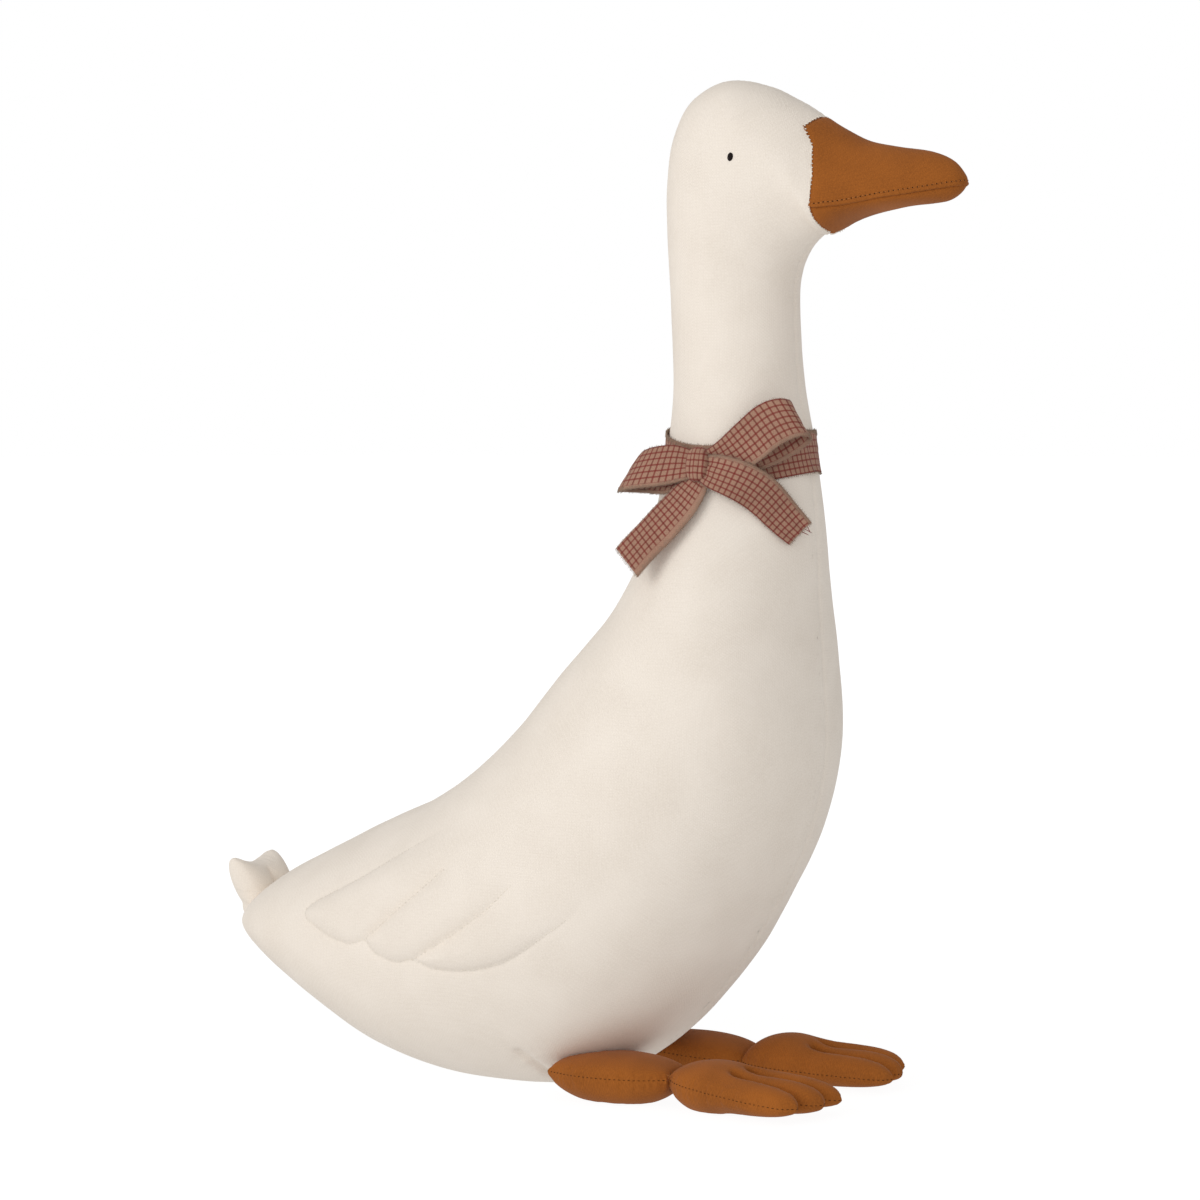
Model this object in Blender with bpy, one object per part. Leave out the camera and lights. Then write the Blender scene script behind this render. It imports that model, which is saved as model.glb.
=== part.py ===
"""Stuffed cloth goose that sits on its belly with its feet out in front.

Frame: +X is the way the goose faces, +Y is its left, +Z is up, and the origin is the middle of the flat
of the belly. The bag of the body, neck and head is one loft along the side outline, from the rump to the
tip of the bill, and the bill is cut off it along its seams. Each wing is three feathers quilted into the
flank. The legs and the tail are stuffed pouches: an outline filled with a net, blown up like a skin that
is held at its seams. The ribbon is one length of cloth in strips, tied over the neck in a bow.
"""
import math
from collections import namedtuple

import bmesh
import bpy
import numpy as np
from mathutils import Matrix, Vector
from mathutils.bvhtree import BVHTree
from mathutils.geometry import delaunay_2d_cdt

MM = 0.001
SEW_GAP = 0.3 * MM  # between pieces that are sewn together
PRESS_GAP = 0.7 * MM  # between a pouch and the round body that it is pressed against

# Trunk: rump to breast, floor to the foot of the neck
TRUNK_REAR_X = -196.5 * MM
TRUNK_LENGTH = 401.5 * MM
SHOULDER_Z = 376 * MM
TRUNK_WIDTH = 212 * MM

# Neck, above the shoulders
NECK_X = 142 * MM
NECK_DEPTH = 80 * MM
NECK_LENGTH = 147 * MM
NECK_WIDTH = 74 * MM

# Head, from the nape to the seam of the bill and from the throat to the crown
HEAD_REAR_X = 100 * MM
HEAD_LENGTH = 105 * MM
HEAD_HEIGHT = 91 * MM
HEAD_WIDTH = 80 * MM

# Bill, from its seam to its tip
BILL_LENGTH = 87.5 * MM
BILL_DEPTH = 70 * MM
BILL_WIDTH = 62 * MM
BILL_NOTCH = 9 * MM  # how far the seam runs back over each brow
LIP_OVERHANG = 1.6 * MM  # the upper bill's edge beyond the lower bill

# Eyes
EYE_WIDTH = 3.5 * MM
EYE_HEIGHT = 5.1 * MM
EYE_RISE = 1.0 * MM
EYE_BACK = 47.5 * MM  # behind the seam of the bill
EYE_DROP = 48.5 * MM  # below the crown
EYE_TILT = math.radians(10)

# Wings: three feathers quilted into each flank
FEATHER_RISE = 7.5 * MM
FEATHER_EDGE = 15 * MM  # from a stitched line to where the feather is as high as it gets
STITCH_SINK = 0.8 * MM  # depth of a stitched line in the flank
WING_MARGIN = 13 * MM  # how far round a wing the flank is still shaped with it
WING_INNER_Y = 21 * MM  # no cloth nearer to the goose's middle is wing
WING_REAR_X = -103 * MM
WING_LENGTH = 200 * MM
WING_FOOT_Z = 79 * MM
WING_HEIGHT = 96 * MM

# Tail
TAIL_HEIGHT = 42 * MM
TAIL_WIDTH = 48 * MM
TAIL_ROOT_WIDTH = 40 * MM
TAIL_THICKNESS = 18 * MM
TAIL_DIP = 3.5 * MM
TAIL_ROOT_X = -188 * MM
TAIL_ROOT_Z = 85 * MM
TAIL_LEAN = math.radians(22)

# Legs
LEG_SIDE = 53 * MM  # the leg's middle from the goose's middle
THIGH_REAR_X = 52 * MM
THIGH_LENGTH = 80 * MM
THIGH_WIDTH = 58 * MM
THIGH_ROOT_WIDTH = 40 * MM
THIGH_SEAM_Z = 17 * MM
RIGHT_THIGH_THICKNESS = 29 * MM
LEFT_THIGH_THICKNESS = 24 * MM
ANKLE_WIDTH = 30 * MM
FOOT_LENGTH = 101 * MM
FOOT_WIDTH = 64 * MM
FOOT_SEAM_Z = 9 * MM  # at the toes; at the ankle it is as high as the thigh's
FOOT_THICKNESS = 28 * MM
FOOT_INSET = 3 * MM  # the ankle's middle is this much nearer to the goose's middle than the thigh's
FOOT_SPLAY = math.radians(4.5)
FOOT_SKEW = 0.25  # how far the toes' ends lean forward towards the goose's middle, per length across
TOE_NOTCH = 7 * MM
TOE_LINE = 48 * MM
STITCH_PINCH = 2.6 * MM  # thickness left where a stitched line pulls two skins together

# Neck ribbon, tied in a bow on the goose's right
RIBBON_WIDTH = 25 * MM
RIBBON_THICKNESS = 1.0 * MM
RIBBON_CLEAR = 0.4 * MM  # between the ribbon and the neck
RIBBON_Z = 383 * MM  # the ribbon's middle where it is lowest, at the sides of the neck
RIBBON_LIFT = 8 * MM  # how much higher it lies at the front and the back
KNOT_ANGLE = math.radians(-88)  # round the neck from its front
KNOT_WIDTH = 13 * MM
KNOT_HEIGHT = 21 * MM
KNOT_THICKNESS = 9 * MM

# Fineness of the meshes
FORM_RINGS = 84
FORM_SIDES = 36
WING_CUTS = 2  # how many times finer the flanks are cut where the wings are
POUCH_CELL = 6.5 * MM
RIBBON_STEPS = 4  # between two rows of a ribbon's path
BAND_STEPS = 56

GOOSE = "plush_goose"
GUIDES = "guides"

CREAM = (0.85, 0.79, 0.70, 1.0)
OCHRE = (0.32, 0.105, 0.022, 1.0)
OCHRE_SHADE = (0.27, 0.09, 0.02, 1.0)
EYE_BROWN = (0.012, 0.006, 0.004, 1.0)
CHECK = (0.29, 0.15, 0.12, 1.0)

# A section of the form: the points where it meets the goose's back and its front, half its width, the
# share of the way from front to back at which it is widest, and how full it is (2 is an ellipse).
Section = namedtuple("Section", "back_x back_z front_x front_z half widest full")


def trunk_section(back, front, width, widest=0.48):
    """A section of the trunk, from shares of the trunk's length, height and width."""
    return Section(
        TRUNK_REAR_X + back[0] * TRUNK_LENGTH, back[1] * SHOULDER_Z,
        TRUNK_REAR_X + front[0] * TRUNK_LENGTH, front[1] * SHOULDER_Z,
        width * TRUNK_WIDTH / 2, widest, 2.0)


def neck_section(back, front, width, widest=0.5):
    """A section of the neck: shares of its depth from its middle, of its length and of its width."""
    return Section(
        NECK_X + back[0] * NECK_DEPTH, SHOULDER_Z + back[1] * NECK_LENGTH,
        NECK_X + front[0] * NECK_DEPTH, SHOULDER_Z + front[1] * NECK_LENGTH,
        width * NECK_WIDTH / 2, widest, 2.0)


def head_section(back, front, width, widest):
    """A section of the head, from shares of the head's length, height and width."""
    throat_z = SHOULDER_Z + NECK_LENGTH
    return Section(
        HEAD_REAR_X + back[0] * HEAD_LENGTH, throat_z + back[1] * HEAD_HEIGHT,
        HEAD_REAR_X + front[0] * HEAD_LENGTH, throat_z + front[1] * HEAD_HEIGHT,
        width * HEAD_WIDTH / 2, widest, 2.0)


def bill_section(back, front, width, widest, full=1.8):
    """A section of the bill, from shares of its length, of its depth at the seam and of its width."""
    seam_x = HEAD_REAR_X + HEAD_LENGTH
    foot_z = SHOULDER_Z + NECK_LENGTH
    return Section(
        seam_x + back[0] * BILL_LENGTH, foot_z + back[1] * BILL_DEPTH,
        seam_x + front[0] * BILL_LENGTH, foot_z + front[1] * BILL_DEPTH,
        width * BILL_WIDTH / 2, widest, full)


def smooth_step(a, b, c, d, f):
    """The value f of the way from b to c, on a smooth curve through a, b, c and d."""
    return b + 0.5 * f * (c - a + f * (2 * a - 5 * b + 4 * c - d + f * (3 * (b - c) + d - a)))


def form_sections():
    """The sections of the whole form, from the rump to the tip of the bill."""
    return [
        # Rump and back
        trunk_section((0.000, 0.223), (0.000, 0.223), 0.0),
        trunk_section((0.007, 0.247), (0.005, 0.210), 0.21),
        trunk_section((0.035, 0.282), (0.030, 0.190), 0.42),
        trunk_section((0.095, 0.324), (0.088, 0.149), 0.62),
        trunk_section((0.183, 0.372), (0.168, 0.092), 0.77),
        trunk_section((0.269, 0.418), (0.260, 0.037), 0.88),
        trunk_section((0.361, 0.464), (0.366, 0.001), 0.955),
        # Belly, pressed flat later where it dips below the floor
        trunk_section((0.447, 0.529), (0.466, -0.013), 0.99),
        trunk_section((0.514, 0.598), (0.577, -0.011), 1.0),
        trunk_section((0.569, 0.668), (0.668, 0.021), 0.99),
        # Breast
        trunk_section((0.625, 0.735), (0.759, 0.093), 0.97),
        trunk_section((0.660, 0.779), (0.844, 0.191), 0.935),
        trunk_section((0.686, 0.823), (0.910, 0.303), 0.885),
        trunk_section((0.707, 0.867), (0.966, 0.420), 0.82),
        trunk_section((0.724, 0.910), (0.995, 0.545), 0.74),
        trunk_section((0.734, 0.955), (0.993, 0.678), 0.655),
        trunk_section((0.741, 1.000), (0.985, 0.798), 0.565),
        # Neck
        neck_section((-0.49, 0.133), (0.69, -0.220), 1.34),
        neck_section((-0.47, 0.273), (0.62, 0.107), 1.14),
        neck_section((-0.465, 0.427), (0.53, 0.387), 1.02),
        neck_section((-0.49, 0.720), (0.49, 0.707), 0.985),
        neck_section((-0.52, 0.960), (0.53, 0.847), 1.00),
        # Head, its sections fanned round the throat
        head_section((0.000, 0.319), (0.867, -0.126), 0.97, 0.50),
        head_section((0.038, 0.626), (0.914, -0.077), 0.99, 0.50),
        head_section((0.152, 0.857), (0.943, -0.050), 0.99, 0.50),
        head_section((0.371, 0.978), (0.962, -0.038), 0.97, 0.50),
        head_section((0.619, 0.934), (0.976, -0.036), 0.92, 0.46),
        head_section((0.819, 0.833), (0.986, -0.038), 0.86, 0.36),
        # Bill
        bill_section((-0.046, 0.957), (0.000, -0.050), 1.02, 0.25, 1.9),
        bill_section((0.103, 0.851), (0.126, 0.043), 0.94, 0.17),
        bill_section((0.286, 0.743), (0.309, 0.125), 0.85, 0.15),
        bill_section((0.514, 0.686), (0.537, 0.180), 0.73, 0.16),
        bill_section((0.743, 0.643), (0.743, 0.210), 0.59, 0.21),
        bill_section((0.891, 0.571), (0.869, 0.235), 0.42, 0.28),
        bill_section((0.971, 0.470), (0.954, 0.300), 0.24, 0.37),
        bill_section((1.000, 0.385), (1.000, 0.385), 0.0, 0.40),
    ]


def blend_sections(sections, t):
    """The section at t, counted in sections, on a smooth curve through them all."""
    last = len(sections) - 1
    ends = [Section(s.front_x, s.front_z, s.back_x, s.back_z, -s.half, s.widest, s.full)
            for s in (sections[1], sections[last - 1])]
    rows = np.array([ends[0], *sections, ends[1]])
    i = min(int(t), last - 1)
    return Section(*smooth_step(*rows[i:i + 4], t - i))


def section_point(section, angle, inset=0.0):
    """A point of a section's rim: angle 0 is the goose's left and a quarter turn its back."""
    side = math.copysign(abs(math.cos(angle)) ** (2 / section.full), math.cos(angle))
    rise = math.copysign(abs(math.sin(angle)) ** (2 / section.full), math.sin(angle))
    share = section.widest + rise * (1 - section.widest if rise > 0 else section.widest)
    return Vector((
        section.front_x + share * (section.back_x - section.front_x),
        side * max(abs(section.half) - inset, 0.0),
        section.front_z + share * (section.back_z - section.front_z)))


def goose_form(name, inset=0.0, finer=1):
    """The whole form as a closed mesh object: a sphere whose rings become the sections."""
    sections = form_sections()
    bm = bmesh.new()
    bmesh.ops.create_uvsphere(bm, u_segments=finer * FORM_SIDES, v_segments=finer * FORM_RINGS, radius=1.0)
    for vert in bm.verts:
        along = 1 - math.acos(max(-1.0, min(1.0, vert.co.z))) / math.pi
        section = blend_sections(sections, along * (len(sections) - 1))
        vert.co = section_point(section, math.atan2(vert.co.y, vert.co.x), inset)
    return object_from(bm, name)


def object_from(bm, name):
    """A new mesh object from a bmesh, which it frees."""
    bmesh.ops.recalc_face_normals(bm, faces=bm.faces)
    mesh = bpy.data.meshes.new(name)
    bm.to_mesh(mesh)
    bm.free()
    return bpy.data.objects.new(name, mesh)


def link(obj, collection, colour=None, roughness=0.9):
    """Put an object in a collection, with a matt cloth material where it has a colour."""
    bpy.data.collections[collection].objects.link(obj)
    if colour is None:
        obj.hide_render = True
        obj.display_type = "WIRE"
        return obj
    material = bpy.data.materials.new(obj.name + "_cloth")
    material.use_nodes = True
    shader = material.node_tree.nodes["Principled BSDF"]
    shader.inputs["Base Color"].default_value = colour
    shader.inputs["Roughness"].default_value = roughness
    shader.inputs["Metallic"].default_value = 0.0
    obj.data.materials.clear()
    obj.data.materials.append(material)
    obj.data.shade_smooth()
    obj.data.set_sharp_from_angle(angle=math.radians(60))
    return obj


def prism(name, outline, half_depth):
    """A solid between -half_depth and +half_depth in Y, over an outline of (x, z) points."""
    curve = bpy.data.curves.new(name, "CURVE")
    curve.dimensions = "2D"
    curve.fill_mode = "BOTH"
    curve.extrude = half_depth
    spline = curve.splines.new("POLY")
    spline.points.add(len(outline) - 1)
    for point, (x, z) in zip(spline.points, outline):
        point.co = (x, z, 0.0, 1.0)
    spline.use_cyclic_u = True
    drawn = bpy.data.objects.new(name, curve)
    drawn.matrix_world = Matrix.Rotation(math.pi / 2, 4, "X")
    bpy.context.scene.collection.objects.link(drawn)
    bpy.context.view_layer.update()
    mesh = bpy.data.meshes.new_from_object(drawn.evaluated_get(bpy.context.evaluated_depsgraph_get()))
    mesh.transform(drawn.matrix_world)
    bpy.data.objects.remove(drawn)
    bm = bmesh.new()
    bm.from_mesh(mesh)
    bmesh.ops.remove_doubles(bm, verts=bm.verts, dist=0.01 * MM)
    bpy.data.meshes.remove(mesh)
    return link(object_from(bm, name), GUIDES)


def combine(obj, other, operation):
    """Cut, keep or join obj with other, and keep the result as obj's own mesh."""
    modifier = obj.modifiers.new(operation.lower(), "BOOLEAN")
    modifier.operation = operation
    modifier.solver = "EXACT"
    modifier.object = other
    in_scene = obj.users_collection
    if not in_scene:
        bpy.context.scene.collection.objects.link(obj)
    bpy.context.view_layer.update()
    mesh = bpy.data.meshes.new_from_object(obj.evaluated_get(bpy.context.evaluated_depsgraph_get()))
    obj.modifiers.clear()
    obj.data = mesh
    if not in_scene:
        bpy.context.scene.collection.objects.unlink(obj)
    return obj


def surface_of(obj):
    """A tree of an object's faces, for finding where a line meets it."""
    bm = bmesh.new()
    bm.from_mesh(obj.data)
    tree = BVHTree.FromBMesh(bm)
    bm.free()
    return tree


# Pouches

def smooth_outline(points, step):
    """A closed outline through points, with a sharp corner where a point is marked with a third item."""
    count = len(points)
    flat = [Vector(p[:2]) for p in points]
    sharp = [len(p) > 2 for p in points]
    out = []
    for i in range(count):
        b, c = flat[i], flat[(i + 1) % count]
        a = b if sharp[i] else flat[i - 1]
        d = c if sharp[(i + 1) % count] else flat[(i + 2) % count]
        steps = max(1, round((c - b).length / step))
        out.extend(smooth_step(a, b, c, d, k / steps) for k in range(steps))
    return out


def mirrored_outline(half):
    """An outline symmetric about its long axis, from the half on the negative side."""
    return half + [(x, -y, *rest) for x, y, *rest in reversed(half) if y != 0]


def inside(point, outline):
    """Whether a point lies inside a closed outline."""
    hit = False
    for a, b in zip(outline, outline[1:] + outline[:1]):
        if (a.y > point.y) != (b.y > point.y):
            if point.x < a.x + (point.y - a.y) * (b.x - a.x) / (b.y - a.y):
                hit = not hit
    return hit


def nearest_on_path(point, path):
    """The point of a chain of points that is nearest to a point."""
    found = []
    for a, b in zip(path, path[1:]):
        run = b - a
        found.append(a + run * max(0.0, min(1.0, (point - a).dot(run) / run.length_squared)))
    return min(found, key=lambda place: (place - point).length)


def distance_to_path(point, path):
    """The shortest distance from a point to a chain of points."""
    return (nearest_on_path(point, path) - point).length


def pouch_net(outline, stitches, cell):
    """Triangles that fill an outline and keep its stitched lines as edges.

    Gives the net's points, its triangles, and the numbers of the points on the rim and on the stitches.
    """
    points = list(outline)
    edges = []
    for line in stitches:
        first = len(points)
        points.extend(line)
        edges.extend((first + k, first + k + 1) for k in range(len(line) - 1))
    ring = outline + outline[:1]
    low = Vector((min(p.x for p in outline), min(p.y for p in outline)))
    high = Vector((max(p.x for p in outline), max(p.y for p in outline)))
    row_height = cell * math.sqrt(0.75)
    for row in range(int((high.y - low.y) / row_height) + 1):
        for column in range(int((high.x - low.x) / cell) + 1):
            point = low + Vector(((column + 0.5 * (row % 2)) * cell, (row + 0.5) * row_height))
            if not inside(point, outline) or distance_to_path(point, ring) < 0.6 * cell:
                continue
            if all(distance_to_path(point, line) > 0.6 * cell for line in stitches):
                points.append(point)
    ring_faces = [list(range(len(outline)))]
    while True:
        verts, _, faces, origins, _, _ = delaunay_2d_cdt(points, edges, ring_faces, 1, 0.001 * MM)
        rim = {i for i, old in enumerate(origins) if any(k < len(outline) for k in old)}
        sides = [tuple(sorted((f[k], f[(k + 1) % 3]))) for f in faces for k in range(3)]
        bridges = {side for side in sides if rim.issuperset(side) and sides.count(side) == 2}
        if not bridges:
            break
        # An edge from rim to rim would hold both skins together, so it gets a middle point that can rise
        points.extend((verts[i] + verts[j]) / 2 for i, j in bridges)
    stitched_until = len(outline) + sum(len(line) for line in stitches)
    stitched = {i for i, old in enumerate(origins)
                if i not in rim and any(len(outline) <= k < stitched_until for k in old)}
    return verts, faces, rim, stitched


def fullness(verts, faces, rim, stitched, pinch):
    """How far each point of a net rises when it is blown up, from 0 at the rim to 1 at the crown."""
    count = len(verts)
    stiffness = np.zeros((count, count))
    load = np.zeros(count)
    for face in faces:
        area = 0.0
        for k in range(3):
            i, j, far = face[k], face[(k + 1) % 3], face[(k + 2) % 3]
            u, v = verts[i] - verts[far], verts[j] - verts[far]
            cross = abs(u.x * v.y - u.y * v.x)
            weight = 0.5 * u.dot(v) / cross
            stiffness[i, i] += weight
            stiffness[j, j] += weight
            stiffness[i, j] -= weight
            stiffness[j, i] -= weight
            area = cross / 2
        load[list(face)] += area / 3
    free = [i for i in range(count) if i not in rim and i not in stitched]
    held = sorted(stitched)
    height = np.zeros(count)
    height[free] = np.linalg.solve(stiffness[np.ix_(free, free)], load[free])
    top = height.max()
    height[held] = top * pinch ** 2
    pull = load[free] - stiffness[np.ix_(free, held)] @ height[held]
    height[free] = np.linalg.solve(stiffness[np.ix_(free, free)], pull)
    return np.sqrt(np.maximum(height, 0.0) / height.max())


def pouch(name, net, upper, lower):
    """A closed pouch from a net: upper(i) and lower(i) give the place of point i on each skin."""
    verts, faces, rim, _ = net
    bm = bmesh.new()
    over = [bm.verts.new(upper(i)) for i in range(len(verts))]
    under = [over[i] if i in rim else bm.verts.new(lower(i)) for i in range(len(verts))]
    for face in faces:
        bm.faces.new([over[i] for i in face])
        bm.faces.new([under[i] for i in reversed(face)])
    return object_from(bm, name)


def mirror_over(obj):
    """Move an object to the goose's other side."""
    obj.data.transform(Matrix.Scale(-1, 4, Vector((0, 1, 0))))
    obj.data.flip_normals()
    return obj


# Body and bill

def bill_seam():
    """The seam between head and bill, as (x, z) points from below the throat to above the brow."""
    x = HEAD_REAR_X + HEAD_LENGTH
    z = SHOULDER_Z + NECK_LENGTH
    return [
        (x, z - 0.4 * BILL_DEPTH),
        (x + 0.2 * BILL_NOTCH, z + 0.0 * BILL_DEPTH),
        (x, z + 0.15 * BILL_DEPTH),
        (x + 0.1 * BILL_NOTCH, z + 0.45 * BILL_DEPTH),
        (x - 0.2 * BILL_NOTCH, z + 0.70 * BILL_DEPTH),
        (x - BILL_NOTCH, z + 0.87 * BILL_DEPTH),
        (x - 0.6 * BILL_NOTCH, z + 0.94 * BILL_DEPTH),
        (x + 0.3 * BILL_NOTCH, z + 1.04 * BILL_DEPTH),
        (x + 0.3 * BILL_NOTCH, z + 1.5 * BILL_DEPTH),
    ]


def mouth_line():
    """The line between the two halves of the bill, as (x, z) points from inside the head to past the tip."""
    x = HEAD_REAR_X + HEAD_LENGTH
    z = SHOULDER_Z + NECK_LENGTH
    shares = [(-0.35, 0.17), (0.0, 0.171), (0.22, 0.20), (0.48, 0.261), (0.77, 0.314), (0.93, 0.35), (1.3, 0.42)]
    return [(x + a * BILL_LENGTH, z + b * BILL_DEPTH) for a, b in shares]


def make_body_and_bill():
    """The bag of body, neck and head, and the two halves of the bill."""
    seam = bill_seam()
    mouth = mouth_line()
    reach = HEAD_REAR_X + HEAD_LENGTH + 1.5 * BILL_LENGTH
    deep = BILL_WIDTH
    ahead = [(reach, seam[-1][1]), (reach, seam[0][1])]
    moved = [(x + SEW_GAP, z) for x, z in seam]
    above = [(moved[-1][0] + 2 * BILL_LENGTH, moved[-1][1]), moved[-1], (mouth[0][0], moved[-1][1])]

    body = goose_form("body")
    combine(body, prism("bill_region", seam + ahead, deep), "DIFFERENCE")
    bm = bmesh.new()
    bm.from_mesh(body.data)
    cut = bmesh.ops.bisect_plane(
        bm, geom=bm.verts[:] + bm.edges[:] + bm.faces[:], dist=0.001 * MM,
        plane_co=(0, 0, 0), plane_no=(0, 0, -1), clear_outer=True)
    rim = [e for e in cut["geom_cut"] if isinstance(e, bmesh.types.BMEdge)]
    bmesh.ops.contextual_create(bm, geom=rim)
    flat = object_from(bm, "body")
    body.data = flat.data
    bpy.data.objects.remove(flat)

    front = prism("bill_front", moved + ahead, deep)
    over_mouth = prism("over_mouth", mouth + [above[0], above[2]], deep)
    below = [(x, z - SEW_GAP) for x, z in mouth]
    under_mouth = prism("under_mouth", below + [(below[-1][0], seam[0][1]), (below[0][0], seam[0][1])], deep)
    upper = combine(combine(goose_form("beak_upper"), front, "INTERSECT"), over_mouth, "INTERSECT")
    lower = goose_form("beak_lower", inset=LIP_OVERHANG)
    lower = combine(combine(lower, front, "INTERSECT"), under_mouth, "INTERSECT")
    return body, upper, lower


# Wings

def wing_outline():
    """A wing's outline in (x, z), from shares of its length and height: feather tips along its foot."""
    shares = [
        (0.00, 0.30), (0.065, 0.17), (0.155, 0.11), (0.215, 0.135),
        (0.25, 0.07), (0.33, 0.02), (0.40, 0.045),
        (0.475, 0.00), (0.60, 0.01), (0.72, 0.085), (0.825, 0.23), (0.94, 0.42),
        (1.00, 0.66), (0.90, 0.90), (0.70, 1.00), (0.45, 0.85), (0.15, 0.50),
    ]
    return [(WING_REAR_X + a * WING_LENGTH, WING_FOOT_Z + b * WING_HEIGHT) for a, b in shares]


def feather_lines():
    """The two stitched lines between a wing's three feathers."""
    shares = [[(0.215, 0.135), (0.32, 0.32), (0.42, 0.50), (0.49, 0.62)],
              [(0.40, 0.045), (0.54, 0.22), (0.66, 0.40), (0.74, 0.56)]]
    return [[(WING_REAR_X + a * WING_LENGTH, WING_FOOT_Z + b * WING_HEIGHT) for a, b in line] for line in shares]


def feather_fade(x, z):
    """How much of a feather's rise is left at a point: all at the tips, none at the shoulder."""
    along = (x - WING_REAR_X) / WING_LENGTH
    up = (z - WING_FOOT_Z) / WING_HEIGHT
    share = max(0.0, min(1.0, (0.98 - max(up, 0.62 * along + 0.55 * up)) / 0.62))
    return share * share * (3 - 2 * share)


def quilt_wings(body):
    """Cut both flanks finer where the wings are, and lift the cloth between their stitched lines."""
    flank = surface_of(goose_form("flank", finer=3))
    outline = smooth_outline(wing_outline(), POUCH_CELL)
    stitched = [outline + outline[:1]] + [[Vector(p) for p in line] for line in feather_lines()]
    bm = bmesh.new()
    bm.from_mesh(body.data)

    def on_wing(vert):
        place = Vector((vert.co.x, vert.co.z))
        if abs(vert.co.y) < WING_INNER_Y:
            return False
        return inside(place, outline) or distance_to_path(place, stitched[0]) < WING_MARGIN

    near = {vert for vert in bm.verts if on_wing(vert)}
    edges = [edge for edge in bm.edges if near.issuperset(edge.verts)]
    cell = sum(edge.calc_length() for edge in edges) / len(edges) / (WING_CUTS + 1)
    snap = 0.5 * cell
    bmesh.ops.subdivide_edges(bm, edges=edges, cuts=WING_CUTS, use_grid_fill=True)
    for vert in [vert for vert in bm.verts if on_wing(vert)]:
        place = Vector((vert.co.x, vert.co.z))
        nearest = min((nearest_on_path(place, path) for path in stitched), key=lambda p: (p - place).length)
        if (nearest - place).length < snap:
            place = nearest
        far = Vector((0, math.copysign(TRUNK_WIDTH, vert.co.y), 0))
        skin, normal, _, _ = flank.ray_cast(Vector((place.x, 0, place.y)) + far, -far.normalized())
        share = min(1.0, (nearest - place).length / FEATHER_EDGE)
        lift = (FEATHER_RISE + STITCH_SINK) * math.sqrt(share * (2 - share)) - STITCH_SINK
        if not inside(place, outline) and place != nearest:
            lift = -STITCH_SINK * max(0.0, 1 - (nearest - place).length / cell)
        vert.co = skin + normal * lift * feather_fade(*place)
    quilted = object_from(bm, "quilted")
    body.data = quilted.data
    bpy.data.objects.remove(quilted)


# Legs and tail

def floor_and_belly(belly, x, y, height):
    """A height held between the floor and the underside of the belly."""
    place, _, _, _ = belly.ray_cast(Vector((x, y, -TRUNK_WIDTH)), Vector((0, 0, 1)))
    ceiling = math.inf if place is None else max(place.z - PRESS_GAP, 0.0)
    return max(0.0, min(height, ceiling))


def make_leg_pouch(name, outline, stitches, seam_z, thickness, belly):
    """A pouch that lies on the floor, its top held under the belly.

    The seam's height runs from the first of seam_z at the pouch's rear to the second at its front.
    """
    net = pouch_net(smooth_outline(outline, POUCH_CELL), stitches, POUCH_CELL)
    rise = fullness(*net, pinch=STITCH_PINCH / thickness)
    rear = min(p.x for p in net[0])
    length = max(p.x for p in net[0]) - rear

    def skins(i):
        x, y = net[0][i]
        seam = seam_z[0] + (seam_z[1] - seam_z[0]) * (x - rear) / length
        top = floor_and_belly(belly, x, y, seam + (thickness - seam) * rise[i])
        return top, max(0.0, min(seam * (1 - rise[i]), top - STITCH_PINCH))

    return pouch(name, net, lambda i: (*net[0][i], skins(i)[0]), lambda i: (*net[0][i], skins(i)[1]))


def thigh_outline():
    """The right thigh from above: a leaf with a square root and a narrower, square ankle."""
    y = -LEG_SIDE
    half = [
        (THIGH_REAR_X, -THIGH_ROOT_WIDTH / 2, "corner"),
        (THIGH_REAR_X + 0.25 * THIGH_LENGTH, -0.47 * THIGH_WIDTH),
        (THIGH_REAR_X + 0.52 * THIGH_LENGTH, -0.50 * THIGH_WIDTH),
        (THIGH_REAR_X + 0.80 * THIGH_LENGTH, -0.42 * THIGH_WIDTH),
        (THIGH_REAR_X + THIGH_LENGTH, -ANKLE_WIDTH / 2, "corner"),
    ]
    return [(x, y + side, *rest) for x, side, *rest in mirrored_outline(half)]


def foot_point(forward, side):
    """A point of the right foot from above, turned out while its ankle stays square."""
    start = THIGH_REAR_X + THIGH_LENGTH + SEW_GAP
    forward += FOOT_SKEW * side * min(1.0, max(0.0, forward / FOOT_LENGTH))
    return Vector((start + forward, FOOT_INSET - LEG_SIDE + side - math.tan(FOOT_SPLAY) * forward))


def foot_outline():
    """The right foot from above: square ankle, wide sole and three short toes."""
    toe = FOOT_WIDTH / 3
    tip = FOOT_LENGTH
    half = [
        (0.0, -ANKLE_WIDTH / 2, "corner"),
        (0.14 * FOOT_LENGTH, -0.37 * FOOT_WIDTH),
        (0.38 * FOOT_LENGTH, -0.45 * FOOT_WIDTH),
        (0.72 * FOOT_LENGTH, -0.49 * FOOT_WIDTH),
        (tip - 1.30 * TOE_NOTCH, -1.38 * toe),
        (tip - 0.60 * TOE_NOTCH, -1.08 * toe),
        (tip - 0.80 * TOE_NOTCH, -0.72 * toe),
        (tip - 1.60 * TOE_NOTCH, -0.50 * toe, "corner"),
        (tip - 0.55 * TOE_NOTCH, -0.34 * toe),
        (tip, 0.0),
    ]
    return [(*foot_point(forward, side), *rest) for forward, side, *rest in mirrored_outline(half)]


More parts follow.
